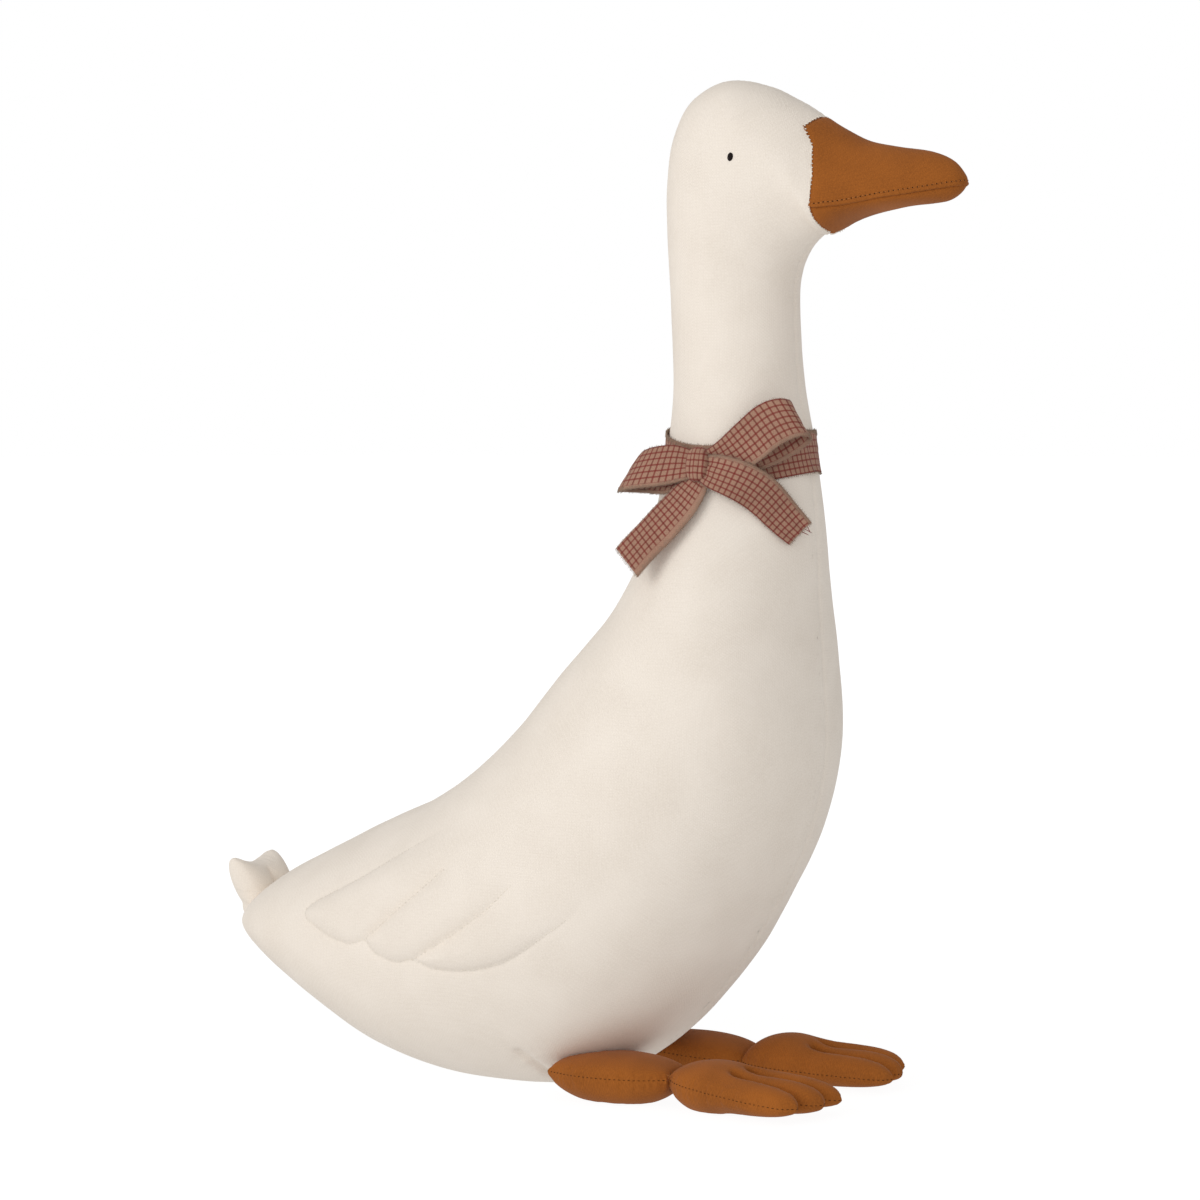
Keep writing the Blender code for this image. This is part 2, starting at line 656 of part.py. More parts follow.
def toe_lines():
    """The two stitched lines between the toes of the right foot, from the notches back over the foot."""
    toe = FOOT_WIDTH / 3
    notch = FOOT_LENGTH - 1.60 * TOE_NOTCH
    steps = max(2, round(TOE_LINE / POUCH_CELL))
    lines = []
    for way in (-1, 1):
        shares = [k / steps for k in range(1, steps + 1)]
        lines.append([foot_point(notch - TOE_LINE * k, way * (0.5 - 0.1 * k) * toe) for k in shares])
    return lines


def make_tail(rump):
    """The tail: a small pouch that stands up behind the rump, pinched at its root."""
    half = [
        (0.0, -TAIL_ROOT_WIDTH / 2, "corner"),
        (0.30 * TAIL_HEIGHT, -0.47 * TAIL_WIDTH),
        (0.65 * TAIL_HEIGHT, -0.51 * TAIL_WIDTH),
        (TAIL_HEIGHT, -0.50 * TAIL_WIDTH, "corner"),
        (TAIL_HEIGHT - 0.8 * TAIL_DIP, -0.22 * TAIL_WIDTH),
        (TAIL_HEIGHT - TAIL_DIP, 0.0),
    ]
    net = pouch_net(smooth_outline(mirrored_outline(half), 0.75 * POUCH_CELL), [], 0.75 * POUCH_CELL)
    rise = fullness(*net, pinch=0.0)

    def place(i, forwards):
        up, side = net[0][i]
        middle = TAIL_ROOT_X - up * math.sin(TAIL_LEAN)
        z = TAIL_ROOT_Z + up * math.cos(TAIL_LEAN)
        hit, _, _, _ = rump.ray_cast(Vector((middle - TRUNK_LENGTH, side, z)), Vector((1, 0, 0)))
        limit = math.inf if hit is None else hit.x - PRESS_GAP
        return min(min(middle, limit) + forwards, limit), side, z

    half_thickness = TAIL_THICKNESS / 2
    return pouch("tail", net,
                 lambda i: place(i, half_thickness * rise[i]),
                 lambda i: place(i, -max(half_thickness * rise[i], 1.0 * MM)))


# Neck ribbon

# A row of a ribbon's path: degrees round the neck from the knot, distance off the neck and height above the
# knot in ribbon widths, the slope of the path in degrees, and the width there as a share of the full width.
Row = namedtuple("Row", "turn off rise slope width")

RIGHT_LOOP = [
    Row(3, 0.26, 0.04, 15, 0.55), Row(13, 0.30, 0.08, 28, 0.75), Row(24, 0.38, 0.32, 36, 0.95),
    Row(33, 0.46, 0.62, 38, 1.04), Row(41, 0.62, 0.92, 36, 1.06), Row(47, 0.80, 1.10, 33, 1.06),
    Row(52, 0.96, 1.18, 30, 1.02), Row(57, 0.96, 1.15, 28, 0.98), Row(60, 0.80, 1.04, 26, 0.95),
    Row(57, 0.54, 0.82, 26, 0.95), Row(46, 0.28, 0.50, 26, 0.9), Row(29, 0.18, 0.22, 20, 0.8),
    Row(12, 0.15, 0.06, 10, 0.65), Row(2, 0.14, 0.0, 5, 0.5),
]
LEFT_LOOP = [
    Row(-3, 0.26, 0.04, 5, 0.6), Row(-10, 0.34, 0.06, 8, 0.8), Row(-19, 0.52, 0.05, 14, 0.98),
    Row(-28, 0.78, -0.02, 26, 1.02), Row(-36, 0.95, -0.10, 36, 1.04), Row(-43, 0.98, -0.20, 42, 1.04),
    Row(-47, 0.86, -0.24, 42, 1.02), Row(-46, 0.66, -0.24, 34, 0.98), Row(-37, 0.40, -0.22, 22, 0.92),
    Row(-22, 0.24, -0.18, 12, 0.8), Row(-10, 0.17, -0.12, 5, 0.65), Row(-2, 0.14, -0.06, 0, 0.5),
]
RIGHT_TAIL = [
    Row(2, 0.22, 0.0, -15, 0.55), Row(12, 0.24, -0.10, -22, 0.82), Row(24, 0.20, -0.26, -28, 0.95),
    Row(34, 0.15, -0.47, -35, 0.98), Row(43, 0.13, -0.74, -42, 0.96), Row(51, 0.13, -1.05, -46, 0.92),
    Row(58, 0.16, -1.34, -48, 0.86), Row(64, 0.20, -1.58, -48, 0.78),
]
LEFT_TAIL = [
    Row(1, 0.20, -0.26, 62, 0.55), Row(-4, 0.22, -0.56, 58, 0.82), Row(-9, 0.27, -0.90, 54, 0.95),
    Row(-15, 0.38, -1.28, 50, 1.0), Row(-20, 0.52, -1.64, 48, 1.0), Row(-24, 0.66, -1.98, 48, 1.0),
    Row(-27, 0.78, -2.26, 48, 1.0),
]


def off_neck(neck, angle, z):
    """The neck's surface at an angle round it and a height, its normal there, and the way straight out."""
    out = Vector((math.cos(angle), math.sin(angle), 0.0))
    place, normal, _, _ = neck.ray_cast(Vector((NECK_X, 0.0, z)) + out * TRUNK_WIDTH, -out)
    return place, normal, out


def clear_of_neck(neck, point, least):
    """The point, moved straight out where it is less than least from the neck."""
    place, _, out = off_neck(neck, math.atan2(point.y, point.x - NECK_X), point.z)
    return point + out * max(0.0, least - (point - place).dot(out))


def band_row(share):
    """The row of the band that goes round the neck, at a share of the way from the knot back to it."""
    turn = math.tau * share
    lift = RIBBON_LIFT / RIBBON_WIDTH * math.sin(turn) ** 2
    slope = math.degrees(math.atan2(RIBBON_LIFT * math.sin(2 * turn), NECK_WIDTH / 2))
    return Row(math.degrees(turn), (RIBBON_CLEAR + RIBBON_THICKNESS / 2) / RIBBON_WIDTH, lift, slope, 1.0)


def path_rows(rows):
    """The rows of an open path with smooth steps put in between them."""
    ends = np.array([rows[0], *rows, rows[-1]])
    out = []
    for i in range(len(rows) - 1):
        out.extend(Row(*smooth_step(*ends[i:i + 4], k / RIBBON_STEPS)) for k in range(RIBBON_STEPS))
    return out + [rows[-1]]


def ribbon_strip(name, rows, neck, closed=False):
    """A length of ribbon along rows: a flat section, three points to a side, carried along the path."""
    centres, ups = [], []
    for row in rows:
        angle = KNOT_ANGLE + math.radians(row.turn)
        place, normal, out = off_neck(neck, angle, RIBBON_Z + row.rise * RIBBON_WIDTH)
        up = (Vector((0, 0, 1)) - normal * normal.z).normalized()
        facing = KNOT_ANGLE + math.radians(row.turn) * max(0.0, 1 - 2 * row.off)
        round_neck = Vector((-math.sin(facing), math.cos(facing), 0.0))
        slope = math.radians(row.slope)
        centres.append(place + out * row.off * RIBBON_WIDTH)
        ups.append(up * math.cos(slope) - round_neck * math.sin(slope))
    bm = bmesh.new()
    rings = []
    count = len(rows)
    for k, row in enumerate(rows):
        before = centres[k - 1] if k or closed else centres[0]
        after = centres[(k + 1) % count] if k < count - 1 or closed else centres[-1]
        up = ups[k]
        face = (after - before).cross(up).normalized()
        outer = 1 if face.dot(centres[k] - Vector((NECK_X, 0.0, centres[k].z))) > 0 else -1
        ring = []
        for across, layer in ((-1, -1), (0, -1), (1, -1), (1, 1), (0, 1), (-1, 1)):
            point = centres[k] + up * across * row.width * RIBBON_WIDTH / 2 + face * layer * RIBBON_THICKNESS / 2
            least = RIBBON_CLEAR + (RIBBON_THICKNESS if layer == outer else 0.0)
            ring.append(bm.verts.new(clear_of_neck(neck, point, least)))
        rings.append(ring)
    for ring, following in zip(rings, rings[1:] + (rings[:1] if closed else [])):
        for i in range(6):
            j = (i + 1) % 6
            bm.faces.new((ring[i], ring[j], following[j], following[i]))
    if not closed:
        for ring in (rings[0], rings[-1]):
            bm.faces.new((ring[0], ring[1], ring[4], ring[5]))
            bm.faces.new((ring[1], ring[2], ring[3], ring[4]))
    bmesh.ops.triangulate(bm, faces=bm.faces)
    return object_from(bm, name)


def make_knot(neck):
    """The knot of the bow: a soft cushion over the middle of the ribbon."""
    place, normal, out = off_neck(neck, KNOT_ANGLE, RIBBON_Z)
    up = (Vector((0, 0, 1)) - normal * normal.z).normalized()
    side = up.cross(normal)
    bm = bmesh.new()
    bmesh.ops.create_uvsphere(bm, u_segments=16, v_segments=10, radius=1.0)
    for vert in bm.verts:
        a, b, c = (math.copysign(abs(v) ** 0.7, v) / 2 for v in vert.co)
        point = place + side * a * KNOT_WIDTH + normal * (b + 0.5) * KNOT_THICKNESS + up * c * KNOT_HEIGHT
        vert.co = clear_of_neck(neck, point, RIBBON_CLEAR)
    return object_from(bm, "knot")


def make_ribbon(neck):
    """The band round the neck, joined with its knot, two loops and two tails."""
    ribbon = ribbon_strip("neck_ribbon", [band_row(k / BAND_STEPS) for k in range(BAND_STEPS)], neck, closed=True)
    bow = {"right_loop": RIGHT_LOOP, "left_loop": LEFT_LOOP, "right_tail": RIGHT_TAIL, "left_tail": LEFT_TAIL}
    for name, rows in bow.items():
        combine(ribbon, link(ribbon_strip(name, path_rows(rows), neck), GUIDES), "UNION")
    return combine(ribbon, link(make_knot(neck), GUIDES), "UNION")


# Eyes

def make_eye(name, surface, side):
    """An oval dome with a flat back, lying on the side of the head."""
    crown = SHOULDER_Z + NECK_LENGTH + HEAD_HEIGHT
    start = Vector((HEAD_REAR_X + HEAD_LENGTH - EYE_BACK, side * HEAD_WIDTH, crown - EYE_DROP))
    place, normal, _, _ = surface.ray_cast(start, Vector((0, -side, 0)))
    bm = bmesh.new()
    bmesh.ops.create_uvsphere(bm, u_segments=16, v_segments=8, radius=1.0)
    whole = bm.verts[:] + bm.edges[:] + bm.faces[:]
    cut = bmesh.ops.bisect_plane(bm, geom=whole, plane_co=(0, 0, 0), plane_no=(0, 0, -1), clear_outer=True)
    rim = [e for e in cut["geom_cut"] if isinstance(e, bmesh.types.BMEdge)]
    bmesh.ops.contextual_create(bm, geom=rim)
    bmesh.ops.scale(bm, vec=(EYE_WIDTH / 2, EYE_HEIGHT / 2, EYE_RISE), verts=bm.verts)
    across = Vector((0, 0, 1)).cross(normal).normalized()
    axes = Matrix((across, normal.cross(across), normal)).transposed().to_4x4()
    turn = Matrix.Rotation(side * EYE_TILT, 4, "Z")
    seat = Matrix.Translation(place + normal * SEW_GAP) @ axes @ turn
    bmesh.ops.transform(bm, matrix=seat, verts=bm.verts)
    return object_from(bm, name)


def main():
    """Clear the scene and build the goose, piece by piece."""
    for obj in list(bpy.data.objects):
        bpy.data.objects.remove(obj)
    for name in (GOOSE, GUIDES):
        bpy.context.scene.collection.children.link(bpy.data.collections.new(name))

    body, beak_upper, beak_lower = make_body_and_bill()
    quilt_wings(body)
    skin = surface_of(body)
    link(body, GOOSE, CREAM)
    link(beak_upper, GOOSE, OCHRE)
    link(beak_lower, GOOSE, OCHRE_SHADE)

    for side, word in ((-1, "right"), (1, "left")):
        link(make_eye("eye_" + word, skin, side), GOOSE, EYE_BROWN, roughness=0.5)

    for word, thickness in (("right", RIGHT_THIGH_THICKNESS), ("left", LEFT_THIGH_THICKNESS)):
        thigh = make_leg_pouch(
            "thigh_" + word, thigh_outline(), [], (THIGH_SEAM_Z, THIGH_SEAM_Z), thickness, skin)
        foot = make_leg_pouch(
            "foot_" + word, foot_outline(), toe_lines(), (THIGH_SEAM_Z, FOOT_SEAM_Z), FOOT_THICKNESS, skin)
        for piece in (thigh, foot):
            link(mirror_over(piece) if word == "left" else piece, GOOSE, OCHRE)

    link(make_tail(skin), GOOSE, CREAM)
    link(make_ribbon(skin), GOOSE, CHECK)


main()
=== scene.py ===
"""The dressed plush goose: sewn cotton bags, a quilted wing on each flank and a frayed ribbon bow.

Frame: +X is the way the goose faces, +Y is its left, +Z is up, and the floor is at zero. Sizes are metres.
"""
import logging
import math
from collections import Counter
from dataclasses import dataclass, field, replace
from enum import Enum
from typing import Callable, NamedTuple, Sequence

import bmesh
import bpy
import numpy as np
from bpy.types import ID, Material, Node, NodeSocket, NodeTree, Object
from mathutils import Matrix, Vector, noise
from mathutils.bvhtree import BVHTree
from mathutils.geometry import delaunay_2d_cdt


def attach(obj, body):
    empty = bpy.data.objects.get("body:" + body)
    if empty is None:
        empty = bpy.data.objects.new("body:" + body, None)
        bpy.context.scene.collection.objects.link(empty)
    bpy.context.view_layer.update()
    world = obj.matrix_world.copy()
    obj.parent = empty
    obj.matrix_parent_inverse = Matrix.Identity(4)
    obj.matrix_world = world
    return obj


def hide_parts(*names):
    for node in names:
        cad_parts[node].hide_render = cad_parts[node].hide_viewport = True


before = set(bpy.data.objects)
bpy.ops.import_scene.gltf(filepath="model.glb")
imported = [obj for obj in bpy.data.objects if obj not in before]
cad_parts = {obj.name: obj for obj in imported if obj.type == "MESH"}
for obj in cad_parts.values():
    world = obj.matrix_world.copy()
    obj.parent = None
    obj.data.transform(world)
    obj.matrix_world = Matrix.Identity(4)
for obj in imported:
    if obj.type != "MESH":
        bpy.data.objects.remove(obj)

MM = 0.001
FAR = 0.2  # off the goose's middle, past its sides and its neck
log = logging.getLogger("plush_goose")
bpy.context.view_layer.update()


# Finishes

class Coordinates(Enum):
    """Where a cloth's pattern is laid out."""

    SPACE = "Object"
    PANEL = "UV"


def linear(colour: str) -> tuple[float, float, float, float]:
    """Turn an sRGB hex colour into linear light.

    Args:
        colour: six hex digits after a hash.
    Returns:
        Red, green, blue and full alpha, linear.
    """
    channels = [int(colour[i:i + 2], 16) / 255 for i in (1, 3, 5)]
    return (*(c / 12.92 if c <= 0.04045 else ((c + 0.055) / 1.055) ** 2.4 for c in channels), 1.0)


def add_node(tree: NodeTree, kind: str, inputs: dict | None = None,
             **settings: object) -> Node:
    """Add a node to a tree.

    Args:
        tree: the tree that gets the node.
        kind: the node's type name.
        inputs: a value, or a socket to link from, for each input by name or number.
        settings: the node's own properties.
    Returns:
        The new node.
    """
    new = tree.nodes.new(kind)
    for name, value in settings.items():
        setattr(new, name, value)
    for key, value in (inputs or {}).items():
        if isinstance(value, NodeSocket):
            tree.links.new(value, new.inputs[key])
        else:
            new.inputs[key].default_value = value
    return new


def new_material(name: str, sockets: dict[str, object]) -> tuple[Material, NodeTree, Node]:
    """Make a material.

    Args:
        name: what the real material is.
        sockets: the values of its shader's own sockets, by name.
    Returns:
        The material, its tree and its shader.
    """
    material = bpy.data.materials.new(name)
    material.use_nodes = True
    shader = material.node_tree.nodes["Principled BSDF"]
    for key, value in sockets.items():
        shader.inputs[key].default_value = value
    return material, material.node_tree, shader


@dataclass(frozen=True)
class Cloth:
    """A plain-weave cotton: matt threads that cross, with the slight unevenness of spun yarn."""

    name: str
    colour: str
    hollow_shade_and_dark_yarn: str  # painted shade in the hollows between the threads, and the colour of darker yarns
    spacing: float  # between threads; real ones are half as far apart, too fine to show
    height: float  # of the weave
    weave: float  # how much painted shade darkens the hollows between the threads, from 0 to 1
    mottle: float  # how much the yarns differ, from 0 to 1
    sheen: float
    coordinates: Coordinates = Coordinates.SPACE
    roughness: float = 0.95
    specular: float = 0.2
    sheen_roughness: float = 0.45
    drift: float = 0.35  # how far the threads stray from straight lines, in spacings
    drift_scale: float = 0.12  # of the noise that moves them, in lumps to a spacing
    fuzz_scale: float = 0.8  # of the fine grain of the yarns, in the same way
    patch_scale: float = 30.0  # of broad lighter and darker patches, in lumps to a metre
    even: tuple[float, float] = (0.12, 0.42)  # the grain that gets none and all of the mottle
    bump: float = 0.8

    def start(self) -> tuple[Material, NodeTree, Node, NodeSocket]:
        """Make the material with its shader and its coordinates.

        Returns:
            The material, its tree, its shader and the coordinates' socket.
        """
        material, tree, shader = new_material(self.name, {
            "Roughness": self.roughness, "Specular IOR Level": self.specular, "Sheen Weight": self.sheen,
            "Sheen Roughness": self.sheen_roughness})
        place = add_node(tree, "ShaderNodeTexCoord").outputs[self.coordinates.value]
        return material, tree, shader, place

    def threads(self, tree: NodeTree, place: NodeSocket) -> NodeSocket:
        """Add the height of crossing threads, from 0 to 1, as products of waves along the axes."""
        stray = add_node(tree, "ShaderNodeTexNoise", {
            "Vector": place, "Scale": self.drift_scale / self.spacing, "Detail": 1.0}).outputs["Color"]
        shift = add_node(tree, "ShaderNodeVectorMath", {
            0: stray, "Scale": self.drift * self.spacing}, operation="SCALE").outputs[0]
        moved = add_node(tree, "ShaderNodeVectorMath", {0: place, 1: shift}, operation="ADD").outputs[0]
        turned = add_node(tree, "ShaderNodeVectorMath", {
            0: moved, "Scale": math.pi / self.spacing}, operation="SCALE").outputs[0]
        waves = add_node(tree, "ShaderNodeVectorMath", {0: turned}, operation="SINE").outputs[0]
        axes = add_node(tree, "ShaderNodeSeparateXYZ", {0: waves}).outputs
        pairs = [(0, 1)] if self.coordinates is Coordinates.PANEL else [(0, 1), (1, 2), (2, 0)]
        total, *more = (add_node(tree, "ShaderNodeMath", {
            0: axes[a], 1: axes[b]}, operation="MULTIPLY").outputs[0] for a, b in pairs)
        for product in more:
            total = add_node(tree, "ShaderNodeMath", {0: total, 1: product}, operation="ADD").outputs[0]
        return add_node(tree, "ShaderNodeMath", {
            0: total, 1: 0.5, 2: 0.5}, operation="MULTIPLY_ADD", use_clamp=True).outputs[0]

    def yarns(self, tree: NodeTree, place: NodeSocket) -> NodeSocket:
        """Add the unevenness of the yarns, from 0 to 1: fine grain over broad drifts."""
        fine = add_node(tree, "ShaderNodeTexNoise", {
            "Vector": place, "Scale": self.fuzz_scale / self.spacing, "Detail": 3.0, "Roughness": 0.65})
        broad = add_node(tree, "ShaderNodeTexNoise", {
            "Vector": place, "Scale": self.patch_scale, "Detail": 2.0})
        return add_node(tree, "ShaderNodeMath", {
            0: fine.outputs["Fac"], 1: broad.outputs["Fac"]}, operation="MULTIPLY").outputs[0]

    def finish(self, tree: NodeTree, shader: Node, colour: NodeSocket, place: NodeSocket) -> None:
        """Darken the hollows of a colour with painted shade, and raise the weave and the fuzz as bump."""
        weave = self.threads(tree, place)
        yarns = self.yarns(tree, place)
        # painted shade: the hollows between the threads are darkened towards the shade colour
        painted_hollow_shade = add_node(tree, "ShaderNodeMath", {
            0: weave, 1: -self.weave, 2: self.weave}, operation="MULTIPLY_ADD").outputs[0]
        uneven = add_node(tree, "ShaderNodeMapRange", {
            "Value": yarns, "From Min": self.even[0], "From Max": self.even[1], "To Min": 0.0,
            "To Max": self.mottle}).outputs[0]
        share = add_node(tree, "ShaderNodeMath", {
            0: painted_hollow_shade, 1: uneven}, operation="ADD", use_clamp=True).outputs[0]
        mixed = add_node(tree, "ShaderNodeMix", {
            "Factor": share, 6: colour, 7: linear(self.hollow_shade_and_dark_yarn)}, data_type="RGBA")
        tree.links.new(mixed.outputs[2], shader.inputs["Base Color"])
        relief = add_node(tree, "ShaderNodeMath", {0: weave, 1: yarns}, operation="ADD").outputs[0]
        bump = add_node(tree, "ShaderNodeBump", {
            "Height": relief, "Distance": self.height, "Strength": self.bump})
        tree.links.new(bump.outputs[0], shader.inputs["Normal"])

    def material(self) -> Material:
        """Make the material of plain cloth of one colour."""
        material, tree, shader, place = self.start()
        plain = add_node(tree, "ShaderNodeRGB")
        plain.outputs[0].default_value = linear(self.colour)
        self.finish(tree, shader, plain.outputs[0], place)
        return material


@dataclass(frozen=True)
class CheckedCloth(Cloth):
    """Yarn-dyed ribbon cloth: a plain ground crossed both ways by fine dark lines, red and brown in turn."""

    line_red: str = "#7a1a1e"
    line_brown: str = "#6a1c1c"
    line_gap: float = 3.8 * MM
    line_width: float = 0.95 * MM
    line_depth: float = 0.75  # how much of the ground a line hides
    raw: float = 2.2 * MM  # of one edge, without lines
    raw_blur: float = 0.4 * MM
    line_blur: tuple[float, float] = (0.3, 0.8)  # where a line starts and ends to fade, in its widths

    def lines(self, tree: NodeTree, way: NodeSocket, every: float,
              start: float) -> NodeSocket:
        """Add a mask of soft-edged lines across one way of the cloth.

        Args:
            tree: the material's tree.
            way: the place along that way, in metres.
            every: the distance between the lines.
            start: the place of the first line.
        Returns:
            A socket that is 1 on a line and 0 off it.
        """
        moved = add_node(tree, "ShaderNodeMath", {0: way, 1: start}, operation="SUBTRACT").outputs[0]
        off = add_node(tree, "ShaderNodeMath", {0: moved, 1: every}, operation="PINGPONG").outputs[0]
        dark, plain = (blur * self.line_width for blur in self.line_blur)
        return add_node(tree, "ShaderNodeMapRange", {
            "Value": off, "From Min": dark, "From Max": plain, "To Min": 1.0, "To Max": 0.0}).outputs[0]

    def material(self) -> Material:
        """Make the material of the checked cloth."""
        material, tree, shader, place = self.start()
        axes = add_node(tree, "ShaderNodeSeparateXYZ", {0: place}).outputs
        colour = add_node(tree, "ShaderNodeRGB")
        colour.outputs[0].default_value = linear(self.colour)
        mixed = colour.outputs[0]
        gap = self.line_gap
        dyed = add_node(tree, "ShaderNodeMapRange", {
            "Value": axes[1], "From Min": self.raw - self.raw_blur, "From Max": self.raw + self.raw_blur,
            "To Min": 0.0, "To Max": self.line_depth}).outputs[0]
        rows = ((axes[0], 0.0, self.line_red), (axes[0], gap, self.line_brown),
                (axes[1], 0.5 * gap, self.line_red), (axes[1], 1.5 * gap, self.line_red))
        for axis, start, dye in rows:
            mask = self.lines(tree, axis, gap, start)
            part = add_node(tree, "ShaderNodeMath", {0: mask, 1: dyed}, operation="MULTIPLY").outputs[0]
            mixed = add_node(tree, "ShaderNodeMix", {
                "Factor": part, 6: mixed, 7: linear(dye)}, data_type="RGBA").outputs[2]
        self.finish(tree, shader, mixed, place)
        return material


@dataclass(frozen=True)
class Thread:
    """Spun cotton thread, a little shinier than the cloth."""

    name: str
    colour: str
    roughness: float = 0.8
    sheen: float = 0.2
    specular: float = 0.2
    fibre_scale: float = 2500.0  # in fibres to a metre
    fibre_height: float = 0.1 * MM
    fibre_dark: float = 0.7  # the darkest fibres' share of the colour

    def material(self) -> Material:
        """Make the thread's material, with its twist as fine bump."""
        material, tree, shader = new_material(self.name, {
            "Roughness": self.roughness, "Sheen Weight": self.sheen, "Specular IOR Level": self.specular})
        place = add_node(tree, "ShaderNodeTexCoord").outputs["Object"]
        fibre = add_node(tree, "ShaderNodeTexNoise", {
            "Vector": place, "Scale": self.fibre_scale, "Detail": 2.0}).outputs["Fac"]
        dark = tuple(self.fibre_dark * c for c in linear(self.colour)[:3]) + (1.0,)
        mixed = add_node(tree, "ShaderNodeMix", {
            "Factor": fibre, 6: linear(self.colour), 7: dark}, data_type="RGBA")
        tree.links.new(mixed.outputs[2], shader.inputs["Base Color"])
        bump = add_node(tree, "ShaderNodeBump", {"Height": fibre, "Distance": self.fibre_height})
        tree.links.new(bump.outputs[0], shader.inputs["Normal"])
        return material


# Brushed cotton: cream, with a soft nap that evens out the weave, and light painted shade in the hollows
# between its threads.
CREAM = Cloth("brushed_cotton_cream", "#f4eade", "#cfc1b0", 0.9 * MM, 0.08 * MM, 0.10, 0.22, 0.12)
# Plain-weave cotton dyed ochre: fine even grain, with painted shade making it browner in the hollows.
OCHRE = Cloth("plain_cotton_ochre", "#a86124", "#643612", 0.8 * MM, 0.09 * MM, 0.14, 0.42, 0.06)
OCHRE_PANEL = replace(OCHRE, name="plain_cotton_ochre_panel", coordinates=Coordinates.PANEL)
# Yarn-dyed check on a taupe ground, with painted shade in the hollows between its threads.
CHECK = CheckedCloth("yarn_dyed_check", "#b28b76", "#6b4838", 0.8 * MM, 0.14 * MM, 0.22, 0.30, 0.10,
                     Coordinates.PANEL)
CREAM_THREAD = Thread("cotton_thread_cream", "#fbf4e6")
OCHRE_THREAD = Thread("cotton_thread_ochre", "#bd7430")
# Near-black marks of painted shade at the lip's needle holes; the legs' side-seam stitches are drawn in the
# same dark colour.
HOLE_SHADE_THREAD = Thread("painted_needle_hole_shade", "#351a06", 1.0, 0.0)
RIBBON_THREAD = Thread("frayed_yarn_taupe", "#a58c78")
RED_THREAD = Thread("frayed_yarn_red", "#8a1f22")
EYE_THREAD = Thread("satin_stitch_dark_brown", "#150a06", 0.7, 0.0)


# Mesh helpers

def show(name: str, data: ID) -> Object:
    """Put a mesh, a camera or a light in the scene."""
    obj = bpy.data.objects.new(name, data)
    bpy.context.scene.collection.objects.link(obj)
    return obj


def piece(name: str, bm: bmesh.types.BMesh) -> Object:
    """Make a smooth-shaded object in the scene from a bmesh, which is freed."""
    mesh = bpy.data.meshes.new(name)
    bm.to_mesh(mesh)
    bm.free()
    mesh.shade_smooth()
    return show(name, mesh)


def modify(obj: Object, kind: str, **settings: object) -> None:
    """Add a modifier with its settings."""
    modifier = obj.modifiers.new(kind.lower(), kind)
    for name, value in settings.items():
        setattr(modifier, name, value)


def bake_modifiers(obj: Object) -> None:
    """Replace an object's mesh by what its modifiers make of it, and drop them."""
    bpy.context.view_layer.update()
    mesh = bpy.data.meshes.new_from_object(obj.evaluated_get(bpy.context.evaluated_depsgraph_get()))
    obj.modifiers.clear()
    obj.data = mesh
    mesh.shade_smooth()


def places(obj: Object, key: str = "co") -> np.ndarray:
    """Give an object's vertices, or what else the key names of them, as rows of x, y and z."""
    flat = np.empty(3 * len(obj.data.vertices))
    obj.data.vertices.foreach_get(key, flat)
    return flat.reshape(-1, 3)


def move_to(obj: Object, points: np.ndarray) -> None:
    """Move an object's vertices."""
    obj.data.vertices.foreach_set("co", np.ascontiguousarray(points).ravel())
    obj.data.update()


def lift_off(obj: Object, points: np.ndarray, lift: np.ndarray) -> None:
    """Move an object's vertices to points that are lifted along the normals that it has now."""
    move_to(obj, points + places(obj, "normal") * lift[:, None])


def surface_of(obj: Object) -> BVHTree:
    """Make a tree of an object's faces, for finding where a line meets it."""
    bm = bmesh.new()
    bm.from_mesh(obj.data)
    tree = BVHTree.FromBMesh(bm)
    bm.free()
    return tree


def smooth_step(a: object, b: object, c: object, d: object, f: float) -> object:
    """Give the value f of the way from b to c on a smooth curve through a, b, c and d."""
    return b + 0.5 * f * (c - a + f * (2 * a - 5 * b + 4 * c - d + f * (3 * (b - c) + d - a)))


def nearest(points: np.ndarray, path: np.ndarray) -> tuple[np.ndarray, np.ndarray]:
    """Measure points against a chain of points.

    Args:
        points: rows of two or three coordinates.
        path: the chain, in rows of the same kind.
    Returns:
        Each point's distance from the chain, and how far along the chain the nearest place is.
    """
    best = np.full(len(points), np.inf)
    along = np.zeros(len(points))
    start = 0.0
    for a, b in zip(path, path[1:]):
        run = b - a
        length = float(np.linalg.norm(run))
        f = np.clip((points - a) @ run / max(length * length, 1e-18), 0.0, 1.0)
        gap = np.linalg.norm(points - a - f[:, None] * run, axis=1)
        closer = gap < best
        best[closer] = gap[closer]
        along[closer] = start + f[closer] * length
        start += length
    return best, along


def within(points: np.ndarray, outline: np.ndarray) -> np.ndarray:
    """Tell which points of a plane lie inside a closed outline."""
    hit = np.zeros(len(points), dtype=bool)
    x, y = points[:, 0], points[:, 1]
    for a, b in zip(outline, np.roll(outline, -1, axis=0)):
        if a[1] == b[1]:
            continue
        spans = (a[1] > y) != (b[1] > y)
        hit ^= spans & (x < a[0] + (y - a[1]) * (b[0] - a[0]) / (b[1] - a[1]))
    return hit


def grain(points: np.ndarray, size: float) -> np.ndarray:
    """Give smooth noise between about -1 and 1 at each point, with lumps of a size."""
    return np.array([noise.noise(Vector(p) / size) for p in points])


